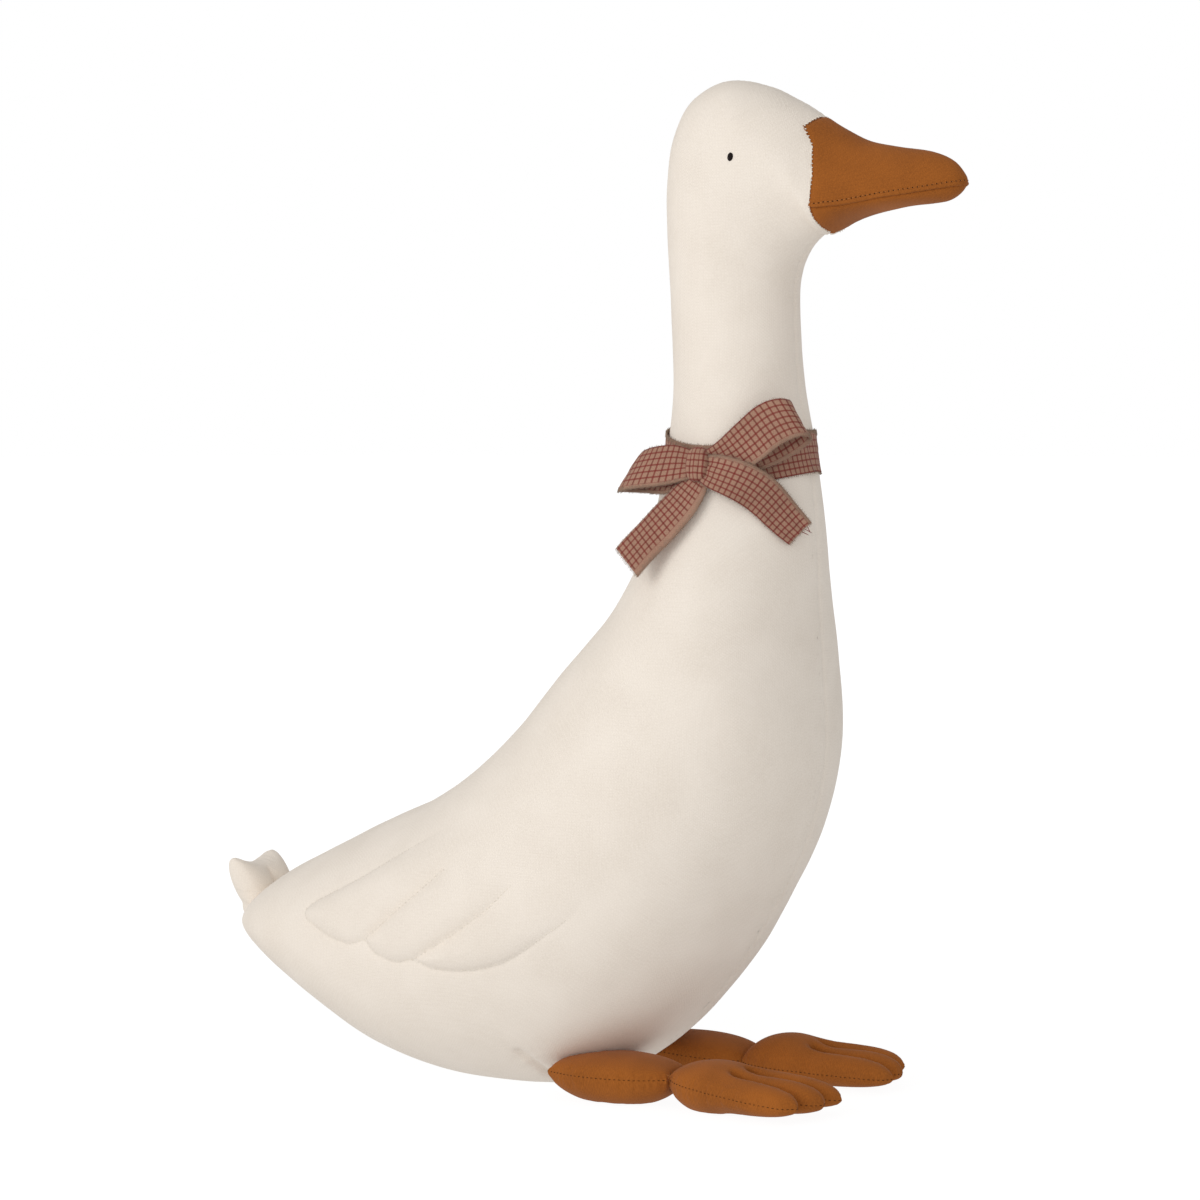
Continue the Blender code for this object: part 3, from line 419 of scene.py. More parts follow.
def cut(obj: Object, outline: Sequence[tuple[float, float]], operation: str) -> None:
    """Cut an object with, or keep it in, a wide prism across Y over an outline of (x, z) points."""
    bm = bmesh.new()
    left, right = ([bm.verts.new((x, side, z)) for x, z in outline] for side in (FAR, -FAR))
    bm.faces.new(left)
    bm.faces.new(list(reversed(right)))
    for i in range(len(outline)):
        j = (i + 1) % len(outline)
        bm.faces.new((left[j], left[i], right[i], right[j]))
    bmesh.ops.recalc_face_normals(bm, faces=bm.faces)
    cutter = piece("cutter", bm)
    modify(obj, "BOOLEAN", operation=operation, solver="EXACT", object=cutter)
    bake_modifiers(obj)
    bpy.data.objects.remove(cutter)


def refine(obj: Object, chosen: np.ndarray, cuts: int) -> None:
    """Cut the edges between chosen vertices into smaller ones."""
    bm = bmesh.new()
    bm.from_mesh(obj.data)
    bm.verts.ensure_lookup_table()
    near = {bm.verts[i] for i in np.flatnonzero(chosen)}
    edges = [edge for edge in bm.edges if near.issuperset(edge.verts)]
    bmesh.ops.subdivide_edges(bm, edges=edges, cuts=cuts, use_grid_fill=True)
    bm.to_mesh(obj.data)
    bm.free()
    obj.data.shade_smooth()


@dataclass(frozen=True)
class Seam:
    """A sewn line that pulls the cloth in and puckers it on both sides."""

    path: np.ndarray
    depth: float
    width: float
    pucker: float = 0.0
    pitch: float = 6.0 * MM

    def sink(self, points: np.ndarray) -> np.ndarray:
        """Give how far each point is lifted, less than 0 in the seam."""
        away, along = nearest(points, self.path)
        share = away / self.width
        waves = np.sin(math.tau * along / self.pitch + 2.0 * np.sin(3.7 * along / self.pitch))
        return -self.depth * np.exp(-share ** 2) + self.pucker * waves * share * np.exp(1 - share)


def sew(obj: Object, seams: Sequence[Seam]) -> None:
    """Pull an object's cloth in along seams."""
    points = places(obj)
    lift = sum(seam.sink(points) for seam in seams)
    lift_off(obj, points, lift)


def relax(obj: Object, share: np.ndarray, times: int) -> None:
    """Even out an object's surface by moving vertices towards the middle of their neighbours.

    Args:
        obj: the object.
        share: how strongly each vertex is moved, from 0 to 1.
        times: how often it is done.
    """
    edges = np.empty(2 * len(obj.data.edges), dtype=int)
    obj.data.edges.foreach_get("vertices", edges)
    a, b = edges.reshape(-1, 2).T
    points = places(obj)
    count = np.bincount(edges, minlength=len(points))[:, None]
    for _ in range(times):
        total = np.column_stack([np.bincount(a, row[b], len(row)) + np.bincount(b, row[a], len(row))
                                 for row in points.T])
        points += 0.5 * share[:, None] * (total / count - points)
    move_to(obj, points)


def wear(obj: Object, slot: str, *materials: Material) -> None:
    """Give an object its materials, and let it ride on the goose."""
    obj.data.materials.clear()
    for material in materials:
        obj.data.materials.append(material)
    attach(obj, "root")
    log.info("%s: %d vertices", obj.name, len(obj.data.vertices))


# Stitches and frayed threads

@dataclass(frozen=True)
class ThreadRow:
    """How short threads are laid along a line: stitches lie on it, and frayed ends stick out of it."""

    pitch: float
    length: float
    radius: float
    reach: float = 0.0  # 0 lays a thread's middle on the line, and 0.5 its end
    sway: float = 0.0  # the most that a thread is turned at random, in radians
    uneven: float = 0.0  # the most that a thread's length differs, as a share
    segments: int = 6


class ThreadTree:
    """The Geometry Nodes tree that lays short threads along lines that carry an along and an up vector."""

    INPUTS = {"Pitch": "NodeSocketFloat", "Length": "NodeSocketFloat", "Radius": "NodeSocketFloat",
              "Reach": "NodeSocketFloat", "Sway": "NodeSocketFloat", "Uneven": "NodeSocketFloat",
              "Segments": "NodeSocketInt", "Seed": "NodeSocketInt", "Thread": "NodeSocketMaterial"}

    def __init__(self) -> None:
        """Build the tree."""
        tree = bpy.data.node_groups.new("short_threads", "GeometryNodeTree")
        tree.interface.new_socket("Lines", in_out="INPUT", socket_type="NodeSocketGeometry")
        self.keys = {name: tree.interface.new_socket(name, in_out="INPUT", socket_type=kind).identifier
                     for name, kind in self.INPUTS.items()}
        tree.interface.new_socket("Threads", in_out="OUTPUT", socket_type="NodeSocketGeometry")
        given = add_node(tree, "NodeGroupInput").outputs
        curve = add_node(tree, "GeometryNodeMeshToCurve", {0: given["Lines"]}).outputs[0]
        even = add_node(tree, "GeometryNodeResampleCurve", {
            "Curve": curve, "Length": given["Pitch"]}, mode="LENGTH").outputs[0]
        along, up = (add_node(tree, "GeometryNodeInputNamedAttribute", {"Name": name},
                              data_type="FLOAT_VECTOR").outputs[0] for name in ("along", "up"))
        seat = add_node(tree, "FunctionNodeAxesToRotation", {
            "Primary Axis": along, "Secondary Axis": up}, primary_axis="X", secondary_axis="Z").outputs[0]
        least = add_node(tree, "ShaderNodeMath", {0: given["Sway"], 1: -1.0}, operation="MULTIPLY").outputs[0]
        turn = add_node(tree, "FunctionNodeRandomValue", {
            0: least, 1: given["Sway"], "Seed": given["Seed"]}, data_type="FLOAT_VECTOR").outputs[0]
        twist = add_node(tree, "FunctionNodeEulerToRotation", {0: turn}).outputs[0]
        facing = add_node(tree, "FunctionNodeRotateRotation", {
            "Rotation": seat, "Rotate By": twist}, rotation_space="LOCAL").outputs[0]
        low = add_node(tree, "ShaderNodeMath", {0: 1.0, 1: given["Uneven"]}, operation="SUBTRACT").outputs[0]
        high = add_node(tree, "ShaderNodeMath", {0: 1.0, 1: given["Uneven"]}, operation="ADD").outputs[0]
        share = add_node(tree, "FunctionNodeRandomValue", {
            2: low, 3: high, "Seed": given["Seed"]}, data_type="FLOAT").outputs[1]
        length = add_node(tree, "ShaderNodeMath", {
            0: given["Length"], 1: share}, operation="MULTIPLY").outputs[0]
        size = add_node(tree, "ShaderNodeCombineXYZ", {
            0: length, 1: given["Radius"], 2: given["Radius"]}).outputs[0]
        bead = add_node(tree, "GeometryNodeMeshUVSphere", {
            "Segments": given["Segments"], "Rings": 4, "Radius": 1.0}).outputs[0]
        shift = add_node(tree, "ShaderNodeCombineXYZ", {0: given["Reach"]}).outputs[0]
        halved = add_node(tree, "GeometryNodeTransform", {
            "Geometry": bead, "Scale": (0.5, 1.0, 1.0), "Translation": shift}).outputs[0]
        laid = add_node(tree, "GeometryNodeInstanceOnPoints", {
            "Points": even, "Instance": halved, "Rotation": facing, "Scale": size}).outputs[0]
        real = add_node(tree, "GeometryNodeRealizeInstances", {0: laid}).outputs[0]
        smooth = add_node(tree, "GeometryNodeSetShadeSmooth", {0: real}).outputs[0]
        dyed = add_node(tree, "GeometryNodeSetMaterial", {"Geometry": smooth, "Material": given["Thread"]})
        add_node(tree, "NodeGroupOutput", {0: dyed.outputs[0]})
        self.tree = tree

    def lay(self, name: str, lines: Sequence["Line"], row: ThreadRow, thread: Material,
            seed: int = 1) -> Object:
        """Lay threads along lines.

        Args:
            name: the new object's name.
            lines: the lines, each with its two vectors at every point.
            row: how the threads are laid.
            thread: the threads' material.
            seed: of the random turns and lengths.
        Returns:
            A plain mesh object of all the threads.
        """
        points = np.vstack([line.points for line in lines])
        edges = []
        first = 0
        for line in lines:
            edges.extend((first + k, first + k + 1) for k in range(len(line.points) - 1))
            first += len(line.points)
        mesh = bpy.data.meshes.new(name)
        mesh.from_pydata(points.tolist(), edges, [])
        for key, rows in (("along", [line.along for line in lines]), ("up", [line.up for line in lines])):
            layer = mesh.attributes.new(key, "FLOAT_VECTOR", "POINT")
            layer.data.foreach_set("vector", np.vstack(rows).ravel())
        obj = show(name, mesh)
        modifier = obj.modifiers.new("threads", "NODES")
        modifier.node_group = self.tree
        sizes = {key: getattr(row, key.lower()) for key in self.keys if hasattr(row, key.lower())}
        for key, value in {**sizes, "Seed": seed, "Thread": thread}.items():
            modifier[self.keys[key]] = value
        bake_modifiers(obj)
        for key in ("along", "up"):
            if key in obj.data.attributes:
                obj.data.attributes.remove(obj.data.attributes[key])
        return obj


@dataclass
class Line:
    """A chain of points with, at each one, the way that a thread runs and the way that faces out."""

    points: np.ndarray
    along: np.ndarray
    up: np.ndarray

    @classmethod
    def on(cls, surface: BVHTree, points: np.ndarray, rise: float = 0.0, across: bool = False) -> "Line":
        """Lay a chain of points on a surface.

        Args:
            surface: the faces that the chain lies on.
            points: the chain, near the surface.
            rise: how far off the surface it lies.
            across: whether threads run across the chain and not along it.
        Returns:
            The line.
        """
        found = [surface.find_nearest(Vector(p)) for p in points]
        up = np.array([hit[1] for hit in found])
        laid = np.array([hit[0] for hit in found]) + up * rise
        along = np.gradient(laid, axis=0)
        if across:
            along = np.cross(along, up)
        along /= np.linalg.norm(along, axis=1, keepdims=True) + 1e-12
        return cls(laid, along, up)

    @classmethod
    def out_of(cls, edge: np.ndarray, inner: np.ndarray) -> "Line":
        """Give the line of a raw edge, with threads that stick out of it away from the row inside it."""
        out = edge - inner
        out /= np.linalg.norm(out, axis=1, keepdims=True)
        up = np.cross(np.gradient(edge, axis=0), out)
        up /= np.linalg.norm(up, axis=1, keepdims=True) + 1e-12
        return cls(edge, out, up)

    def part(self, start: int, end: int | None = None) -> "Line":
        """Give a part of the line, by the numbers of its points."""
        return Line(self.points[start:end], self.along[start:end], self.up[start:end])


def even_path(points: Sequence[Sequence[float]], step: float) -> np.ndarray:
    """Walk along a chain of points in even steps."""
    path = np.array(points, dtype=float)
    runs = np.concatenate([[0.0], np.cumsum(np.linalg.norm(np.diff(path, axis=0), axis=1))])
    count = max(2, round(runs[-1] / step) + 1)
    marks = np.linspace(0.0, runs[-1], count)
    return np.column_stack([np.interp(marks, runs, path[:, i]) for i in range(path.shape[1])])


# The form of the goose

class Section(NamedTuple):
    """A section of the form: its ends at the back and the front, half width, widest share and fullness."""

    back_x: float
    back_z: float
    front_x: float
    front_z: float
    half: float
    widest: float
    full: float


@dataclass(frozen=True)
class Form:
    """The bag of body, neck, head and bill as one loft along the side outline, as the frame's solids are."""

    trunk_rear_x: float = -196.5 * MM
    trunk_length: float = 401.5 * MM
    shoulder_z: float = 376 * MM
    trunk_width: float = 212 * MM
    neck_x: float = 142 * MM
    neck_depth: float = 80 * MM
    neck_length: float = 147 * MM
    neck_width: float = 74 * MM
    head_rear_x: float = 100 * MM
    head_length: float = 105 * MM
    head_height: float = 91 * MM
    head_width: float = 80 * MM
    bill_length: float = 87.5 * MM
    bill_depth: float = 70 * MM
    bill_width: float = 62 * MM
    bill_notch: float = 9 * MM
    lip_overhang: float = 1.6 * MM

    @property
    def throat_z(self) -> float:
        """The height of the throat."""
        return self.shoulder_z + self.neck_length

    @property
    def seam_x(self) -> float:
        """How far forward the bill's seam is."""
        return self.head_rear_x + self.head_length

    @staticmethod
    def shared(start: tuple[float, float], size: tuple[float, float], back: tuple, front: tuple,
               *rest: float) -> Section:
        """Give a section whose ends are shares of a size, in x and z, from a start."""
        ends = (start[i] + end[i] * size[i] for end in (back, front) for i in (0, 1))
        return Section(*ends, *rest)

    def trunk(self, back: tuple, front: tuple, width: float, widest: float = 0.48) -> Section:
        """Give a section of the trunk from shares of the trunk's sizes."""
        return self.shared((self.trunk_rear_x, 0.0), (self.trunk_length, self.shoulder_z), back, front,
                           width * self.trunk_width / 2, widest, 2.0)

    def neck(self, back: tuple, front: tuple, width: float) -> Section:
        """Give a section of the neck from shares of the neck's sizes."""
        return self.shared((self.neck_x, self.shoulder_z), (self.neck_depth, self.neck_length), back, front,
                           width * self.neck_width / 2, 0.5, 2.0)

    def head(self, back: tuple, front: tuple, width: float, widest: float) -> Section:
        """Give a section of the head from shares of the head's sizes."""
        return self.shared((self.head_rear_x, self.throat_z), (self.head_length, self.head_height), back,
                           front, width * self.head_width / 2, widest, 2.0)

    def bill(self, back: tuple, front: tuple, width: float, widest: float, full: float = 1.8) -> Section:
        """Give a section of the bill from shares of the bill's sizes."""
        return self.shared((self.seam_x, self.throat_z), (self.bill_length, self.bill_depth), back, front,
                           width * self.bill_width / 2, widest, full)

    def sections(self) -> list[Section]:
        """Give the sections from the rump to the tip of the bill."""
        trunk, neck, head, bill = self.trunk, self.neck, self.head, self.bill
        return [
            trunk((0.000, 0.223), (0.000, 0.223), 0.0), trunk((0.007, 0.247), (0.005, 0.210), 0.21),
            trunk((0.035, 0.282), (0.030, 0.190), 0.42), trunk((0.095, 0.324), (0.088, 0.149), 0.62),
            trunk((0.183, 0.372), (0.168, 0.092), 0.77), trunk((0.269, 0.418), (0.260, 0.037), 0.88),
            trunk((0.361, 0.464), (0.366, 0.001), 0.955), trunk((0.447, 0.529), (0.466, -0.013), 0.99),
            trunk((0.514, 0.598), (0.577, -0.011), 1.0), trunk((0.569, 0.668), (0.668, 0.021), 0.99),
            trunk((0.625, 0.735), (0.759, 0.093), 0.97), trunk((0.660, 0.779), (0.844, 0.191), 0.935),
            trunk((0.686, 0.823), (0.910, 0.303), 0.885), trunk((0.707, 0.867), (0.966, 0.420), 0.82),
            trunk((0.724, 0.910), (0.995, 0.545), 0.74), trunk((0.734, 0.955), (0.993, 0.678), 0.655),
            trunk((0.741, 1.000), (0.985, 0.798), 0.565),
            neck((-0.49, 0.133), (0.69, -0.220), 1.34), neck((-0.47, 0.273), (0.62, 0.107), 1.14),
            neck((-0.465, 0.427), (0.53, 0.387), 1.02), neck((-0.49, 0.720), (0.49, 0.707), 0.985),
            neck((-0.52, 0.960), (0.53, 0.847), 1.00),
            head((0.000, 0.319), (0.867, -0.126), 0.97, 0.50),
            head((0.038, 0.626), (0.914, -0.077), 0.99, 0.50),
            head((0.152, 0.857), (0.943, -0.050), 0.99, 0.50),
            head((0.371, 0.978), (0.962, -0.038), 0.97, 0.50),
            head((0.619, 0.934), (0.976, -0.036), 0.92, 0.46),
            head((0.819, 0.833), (0.986, -0.038), 0.86, 0.36),
            bill((-0.046, 0.957), (0.000, -0.050), 1.02, 0.25, 1.9),
            bill((0.103, 0.851), (0.126, 0.043), 0.94, 0.17),
            bill((0.286, 0.743), (0.309, 0.125), 0.85, 0.15),
            bill((0.514, 0.686), (0.537, 0.180), 0.73, 0.16),
            bill((0.743, 0.643), (0.743, 0.210), 0.59, 0.21),
            bill((0.891, 0.571), (0.869, 0.235), 0.42, 0.28),
            bill((0.971, 0.470), (0.954, 0.300), 0.24, 0.37),
            bill((1.000, 0.385), (1.000, 0.385), 0.0, 0.40),
        ]

    def at(self, t: float) -> Section:
        """Give the section at t, counted in sections, on a smooth curve through them all."""
        sections = self.sections()
        last = len(sections) - 1
        ends = [Section(s.front_x, s.front_z, s.back_x, s.back_z, -s.half, s.widest, s.full)
                for s in (sections[1], sections[last - 1])]
        rows = np.array([ends[0], *sections, ends[1]])
        i = min(int(t), last - 1)
        return Section(*smooth_step(*rows[i:i + 4], t - i))

    def ring(self, t: float, sides: int, inset: float = 0.0) -> list[tuple[float, float, float]]:
        """Give the points of the rim of the section at t, from the goose's left over its back."""
        section = self.at(t)
        points = []
        for k in range(sides):
            angle = math.tau * k / sides
            side, rise = (math.copysign(abs(v) ** (2 / section.full), v)
                          for v in (math.cos(angle), math.sin(angle)))
            share = section.widest + rise * (1 - section.widest if rise > 0 else section.widest)
            points.append((section.front_x + share * (section.back_x - section.front_x),
                           side * max(abs(section.half) - inset, 0.0),
                           section.front_z + share * (section.back_z - section.front_z)))
        return points

    def loft(self, name: str, start: float, end: float, sides: int, rings: int,
             inset: float = 0.0) -> Object:
        """Make a closed skin over the sections from start to end.

        Args:
            name: the new object's name.
            start: the first section, counted in sections.
            end: the last section.
            sides: points to a ring.
            rings: rings from start to end.
            inset: how much narrower the skin is on each side.
        Returns:
            The object, closed at both ends.
        """
        bm = bmesh.new()
        loops = []
        for t in np.linspace(start, end, rings + 1):
            ring = self.ring(float(t), sides, inset)
            if np.ptp(np.array(ring), axis=0).max() < 0.01 * MM:
                ring = ring[:1]
            loops.append([bm.verts.new(p) for p in ring])
        for low, high in zip(loops, loops[1:]):
            for k in range(sides):
                m = (k + 1) % sides
                if len(low) == 1:
                    bm.faces.new((low[0], high[m], high[k]))
                elif len(high) == 1:
                    bm.faces.new((low[k], low[m], high[0]))
                else:
                    bm.faces.new((low[k], low[m], high[m], high[k]))
        for loop in (loops[0], loops[-1]):
            if len(loop) > 1:
                bm.faces.new(loop)
        bmesh.ops.recalc_face_normals(bm, faces=bm.faces)
        return piece(name, bm)

    def bill_seam(self) -> list[tuple[float, float]]:
        """Give the seam between head and bill as (x, z) points from below the throat to above the brow."""
        shares = [(0.0, -0.4), (0.2, 0.0), (0.0, 0.15), (0.1, 0.45), (-0.2, 0.70), (-1.0, 0.87), (-0.6, 0.94),
                  (0.3, 1.04), (0.3, 1.5)]
        return [(self.seam_x + a * self.bill_notch, self.throat_z + b * self.bill_depth) for a, b in shares]

    def ahead(self, gap: float) -> list[tuple[float, float]]:
        """Give the outline of all that is ahead of the bill's seam by a gap."""
        seam = [(x + gap, z) for x, z in self.bill_seam()]
        reach = self.seam_x + 1.5 * self.bill_length
        return seam + [(reach, seam[-1][1]), (reach, seam[0][1])]

    def mouth(self) -> list[tuple[float, float]]:
        """Give the line of the mouth as (x, z) points from inside the head to past the tip."""
        shares = [(-0.35, 0.17), (0.0, 0.171), (0.22, 0.20), (0.48, 0.261), (0.77, 0.314), (0.93, 0.35),
                  (1.3, 0.42)]
        return [(self.seam_x + a * self.bill_length, self.throat_z + b * self.bill_depth) for a, b in shares]


def from_the_side(surface: BVHTree, path: Sequence[Sequence[float]], side: int) -> np.ndarray:
    """Lay (x, z) points on a surface from one side; points that miss it are left out."""
    found = []
    for x, z in path:
        hit, _, _, _ = surface.ray_cast(Vector((x, 1.5 * side * FAR, z)), Vector((0, -side, 0)))
        if hit is not None:
            found.append(hit)
    return np.array(found)


# Body

@dataclass
class Body:
    """The cream bag of body, neck and head, with three feathers quilted into each flank."""

    form: Form
    sides: int = 132
    rings: int = 264
    last_section: float = 29.2
    rise: float = 4.4 * MM
    edge: float = 14 * MM
    sink: float = 0.4 * MM
    pucker: float = 0.16 * MM
    pucker_pitch: float = 5.5 * MM
    pucker_reach: float = 4 * MM
    round_out: float = 0.72  # less than 1 makes the filling stand up more steeply beside a stitched line
    wing_rear_x: float = -103 * MM
    wing_length: float = 200 * MM
    wing_foot_z: float = 79 * MM
    wing_height: float = 96 * MM
    wing_margin: float = 10 * MM
    wing_inner_y: float = 21 * MM
    wing_cuts: int = 3
    press: float = 2.0 * MM  # how softly the belly bends where it meets the floor
    lump: float = 0.8 * MM
    lump_size: float = 55 * MM
    small_lump: tuple[float, float] = (0.3, 0.35)  # height and size of the smaller lumps, as shares
    lump_fade: tuple[float, float] = (20 * MM, 30 * MM)  # up from the floor and back from the bill
    cheek_back: float = 16 * MM  # the middle of the cheek, behind the bill's seam
    cheek_up: float = 22 * MM  # and above the throat
    cheek_reach: float = 50 * MM
    cheek_steps: int = 90
    cheek_share: float = 1.6
    stitch: ThreadRow = ThreadRow(2.6 * MM, 1.6 * MM, 0.17 * MM, sway=0.06)
    stitch_rise: float = 0.12 * MM
    stitch_fade: float = 0.25  # no stitches show where less of the relief is left
    front_sections: tuple[float, float] = (7.5, 28.3)
    back_sections: tuple[float, float] = (0.6, 28.2)
    # How far from each seam the cloth is cut finer, and how often each edge there is cut.
    front_finer: tuple[float, int] = (9 * MM, 2)
    back_finer: tuple[float, int] = (7 * MM, 1)
    dart_finer: tuple[float, int] = (12 * MM, 2)
    # Each seam's depth, its width, and the height and pitch of its pucker.
    front_seam: tuple[float, ...] = (1.0 * MM, 2.2 * MM, 0.22 * MM, 7 * MM)
    back_seam: tuple[float, ...] = (0.6 * MM, 2.2 * MM, 0.12 * MM, 8 * MM)
    bill_seam: tuple[float, ...] = (0.45 * MM, 1.8 * MM, 0.1 * MM, 5 * MM)
    pleat_seam: tuple[float, ...] = (2.4 * MM, 4.5 * MM)
    dart_seam: tuple[float, ...] = (2.8 * MM, 3.0 * MM, 0.3 * MM, 6 * MM)
    sharp: float = math.radians(70)

    def wing_point(self, shares: tuple[float, float]) -> tuple[float, float]:
        """Give an (x, z) point from shares of the wing's length and height."""
        return (self.wing_rear_x + shares[0] * self.wing_length,
                self.wing_foot_z + shares[1] * self.wing_height)

    def wing_outline(self) -> np.ndarray:
        """Give the wing's closed outline: feather tips along its foot."""
        shares = [(-0.045, 0.27), (0.035, 0.155), (0.145, 0.10), (0.215, 0.135), (0.25, 0.07), (0.33, 0.02),
                  (0.40, 0.045), (0.475, 0.00), (0.60, 0.01), (0.72, 0.085), (0.825, 0.23), (0.94, 0.42),
                  (1.00, 0.66), (0.90, 0.90), (0.70, 1.00), (0.45, 0.85), (0.15, 0.50)]
        return smooth_outline([self.wing_point(s) for s in shares], 2 * MM)

    def feather_lines(self) -> list[np.ndarray]:
        """Give the two stitched lines between the feathers."""
        shares = [[(0.215, 0.135), (0.32, 0.32), (0.42, 0.50), (0.49, 0.62)],
                  [(0.40, 0.045), (0.54, 0.22), (0.66, 0.40), (0.74, 0.56)]]
        return [even_path([self.wing_point(s) for s in line], 2 * MM) for line in shares]

    def fade(self, flat: np.ndarray) -> np.ndarray:
        """Give how much of the relief is left at (x, z) points: all at the tips, none at the shoulder."""
        along = (flat[:, 0] - self.wing_rear_x) / self.wing_length
        up = (flat[:, 1] - self.wing_foot_z) / self.wing_height
        share = np.clip((0.98 - np.maximum(up, 0.62 * along + 0.55 * up)) / 0.62, 0.0, 1.0)
        return share * share * (3 - 2 * share)

    def quilt(self, obj: Object) -> None:
        """Lift the cloth between the stitched lines of the wings, and pucker it beside them."""
        outline = self.wing_outline()
        paths = [np.vstack([outline, outline[:1]]), *self.feather_lines()]

        def near_wing() -> np.ndarray:
            """Tell which vertices are on or near a wing."""
            points = places(obj)
            flat = points[:, [0, 2]]
            close = within(flat, outline) | (nearest(flat, paths[0])[0] < self.wing_margin)
            return close & (np.abs(points[:, 1]) > self.wing_inner_y)

        refine(obj, near_wing(), self.wing_cuts)
        points = places(obj)
        flat = points[:, [0, 2]]
        chosen = near_wing()
        away = np.full(len(flat), np.inf)
        waves = np.zeros(len(flat))
        for number, path in enumerate(paths):
            gap, along = nearest(flat, path)
            closer = gap < away
            away[closer] = gap[closer]
            bent = 1.7 * np.sin(along[closer] * 180.0 + number)
            waves[closer] = np.sin(math.tau * along[closer] / self.pucker_pitch + bent)
        share = np.minimum(1.0, away / self.edge)
        lift = (self.rise + self.sink) * (share * (2 - share)) ** self.round_out - self.sink
        outside = ~within(flat, outline)
        lift[outside] = -self.sink * np.exp(-(away[outside] / (2.5 * MM)) ** 2)
        lift += self.pucker * waves * np.exp(-away / self.pucker_reach) * np.minimum(1.0, away / (1 * MM))
        lift *= self.fade(flat) * chosen
        lift_off(obj, points, lift)

    def centre_lines(self) -> tuple[np.ndarray, np.ndarray]:
        """Give the goose's middle line on its front and on its back."""
        front, back = ([self.form.at(t) for t in np.arange(*ends, 0.2)]
                       for ends in (self.front_sections, self.back_sections))
        return (np.array([(s.front_x, 0.0, s.front_z) for s in front]),
                np.array([(s.back_x, 0.0, s.back_z) for s in back]))

    def darts(self) -> list[np.ndarray]:
        """Give the short tucks in the belly behind the thighs."""
        line = [(33.3, 72.3, 26.6), (37.3, 65.2, 20.9), (40.3, 55.1, 14.0), (41.5, 44.0, 6.0)]
        return [even_path([(x * MM, side * y * MM, z * MM) for x, y, z in line], 2 * MM) for side in (-1, 1)]

    def pleat(self) -> np.ndarray:
        """Give the short pleat in the rump under the tail."""
        line = [(-198, -16, 88), (-199, -13, 76), (-196, -12, 64), (-188, -12, 52)]
        return even_path([(x * MM, y * MM, z * MM) for x, y, z in line], 2 * MM)

    def build(self) -> Object:
        """Make the body's skin with its seams, tucks and wings."""
        form = self.form
        obj = form.loft("goose_body", 0.0, self.last_section, self.sides, self.rings)
        points = places(obj)
        throat = np.array([form.seam_x - self.cheek_back, form.throat_z + self.cheek_up])
        away = np.linalg.norm(points[:, [0, 2]] - throat, axis=1) / self.cheek_reach
        relax(obj, np.clip(self.cheek_share * (1 - away), 0.0, 1.0), self.cheek_steps)
        points = places(obj)
        lowest = (points[:, 2] + np.sqrt(points[:, 2] ** 2 + self.press ** 2)) / 2
        points[:, 2] = lowest - lowest.min()
        height, size = self.small_lump
        lumps = self.lump * grain(points, self.lump_size)
        lumps += height * self.lump * grain(points, size * self.lump_size)
        for gap, fade in zip((points[:, 2], form.seam_x - points[:, 0]), self.lump_fade):
            lumps *= np.clip(gap / fade, 0.0, 1.0)
        lift_off(obj, points, lumps)
        self.bare = surface_of(obj)
        cut(obj, form.ahead(0.0), "DIFFERENCE")

        self.quilt(obj)
        darts = self.darts()
        front, back = self.centre_lines()
        for path, (reach, cuts) in ((front, self.front_finer), (back, self.back_finer),
                                    *((dart, self.dart_finer) for dart in darts)):
            refine(obj, nearest(places(obj), path)[0] < reach, cuts)
        self.bill_line = self.base_line()
        sew(obj, [Seam(front, *self.front_seam), Seam(back, *self.back_seam),
                  Seam(self.bill_line, *self.bill_seam), Seam(self.pleat(), *self.pleat_seam),
                  *(Seam(dart, *self.dart_seam) for dart in darts)])
        obj.data.set_sharp_from_angle(angle=self.sharp)
        self.skin = surface_of(obj)
        return obj

    def base_line(self) -> np.ndarray:
        """Give the seam round the base of the bill, from under the right side over the brow to the left."""
        path = even_path(self.form.bill_seam(), 1.0 * MM)
        right = from_the_side(self.bare, path, -1)
        return np.vstack([right, right[::-1] * (1, -1, 1)])

    def stitches(self, threads: ThreadTree, thread: Material) -> Object:
        """Lay the fine stitches round and between the feathers."""
        lines = []
        outline = self.wing_outline()
        start = int(np.argmax([row[1] for row in outline]))
        turned = np.roll(outline, -start, axis=0)
        marks = self.fade(turned) > self.stitch_fade
        runs = np.split(np.arange(len(turned)), np.flatnonzero(np.diff(marks.astype(int))) + 1)
        paths = [turned[run] for run in runs if marks[run[0]] and len(run) > 3]
        for path in [*paths, *self.feather_lines()]:
            for side in (-1, 1):
                points = from_the_side(self.skin, path, side)
                lines.append(Line.on(self.skin, points, self.stitch_rise))
        return threads.lay("wing_stitches", lines, self.stitch, thread)

    def dress(self, obj: Object, cream: Material) -> None:
        """Give the body its cloth and let it take the place of the frame's solid."""
        wear(obj, "cream_cloth", cream)
        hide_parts("body")


def smooth_outline(points: Sequence[Sequence], step: float) -> np.ndarray:
    """Give a closed outline through points, with a corner at each point that has a third item."""
    count = len(points)
    flat = [np.array(p[:2], dtype=float) for p in points]
    sharp = [len(p) > 2 for p in points]
    out = []
    for i in range(count):
        b, c = flat[i], flat[(i + 1) % count]
        a = b if sharp[i] else flat[i - 1]
        d = c if sharp[(i + 1) % count] else flat[(i + 2) % count]
        steps = max(1, round(float(np.linalg.norm(c - b)) / step))
        out.extend(smooth_step(a, b, c, d, k / steps) for k in range(steps))
    return np.array(out)


# Bill and eyes

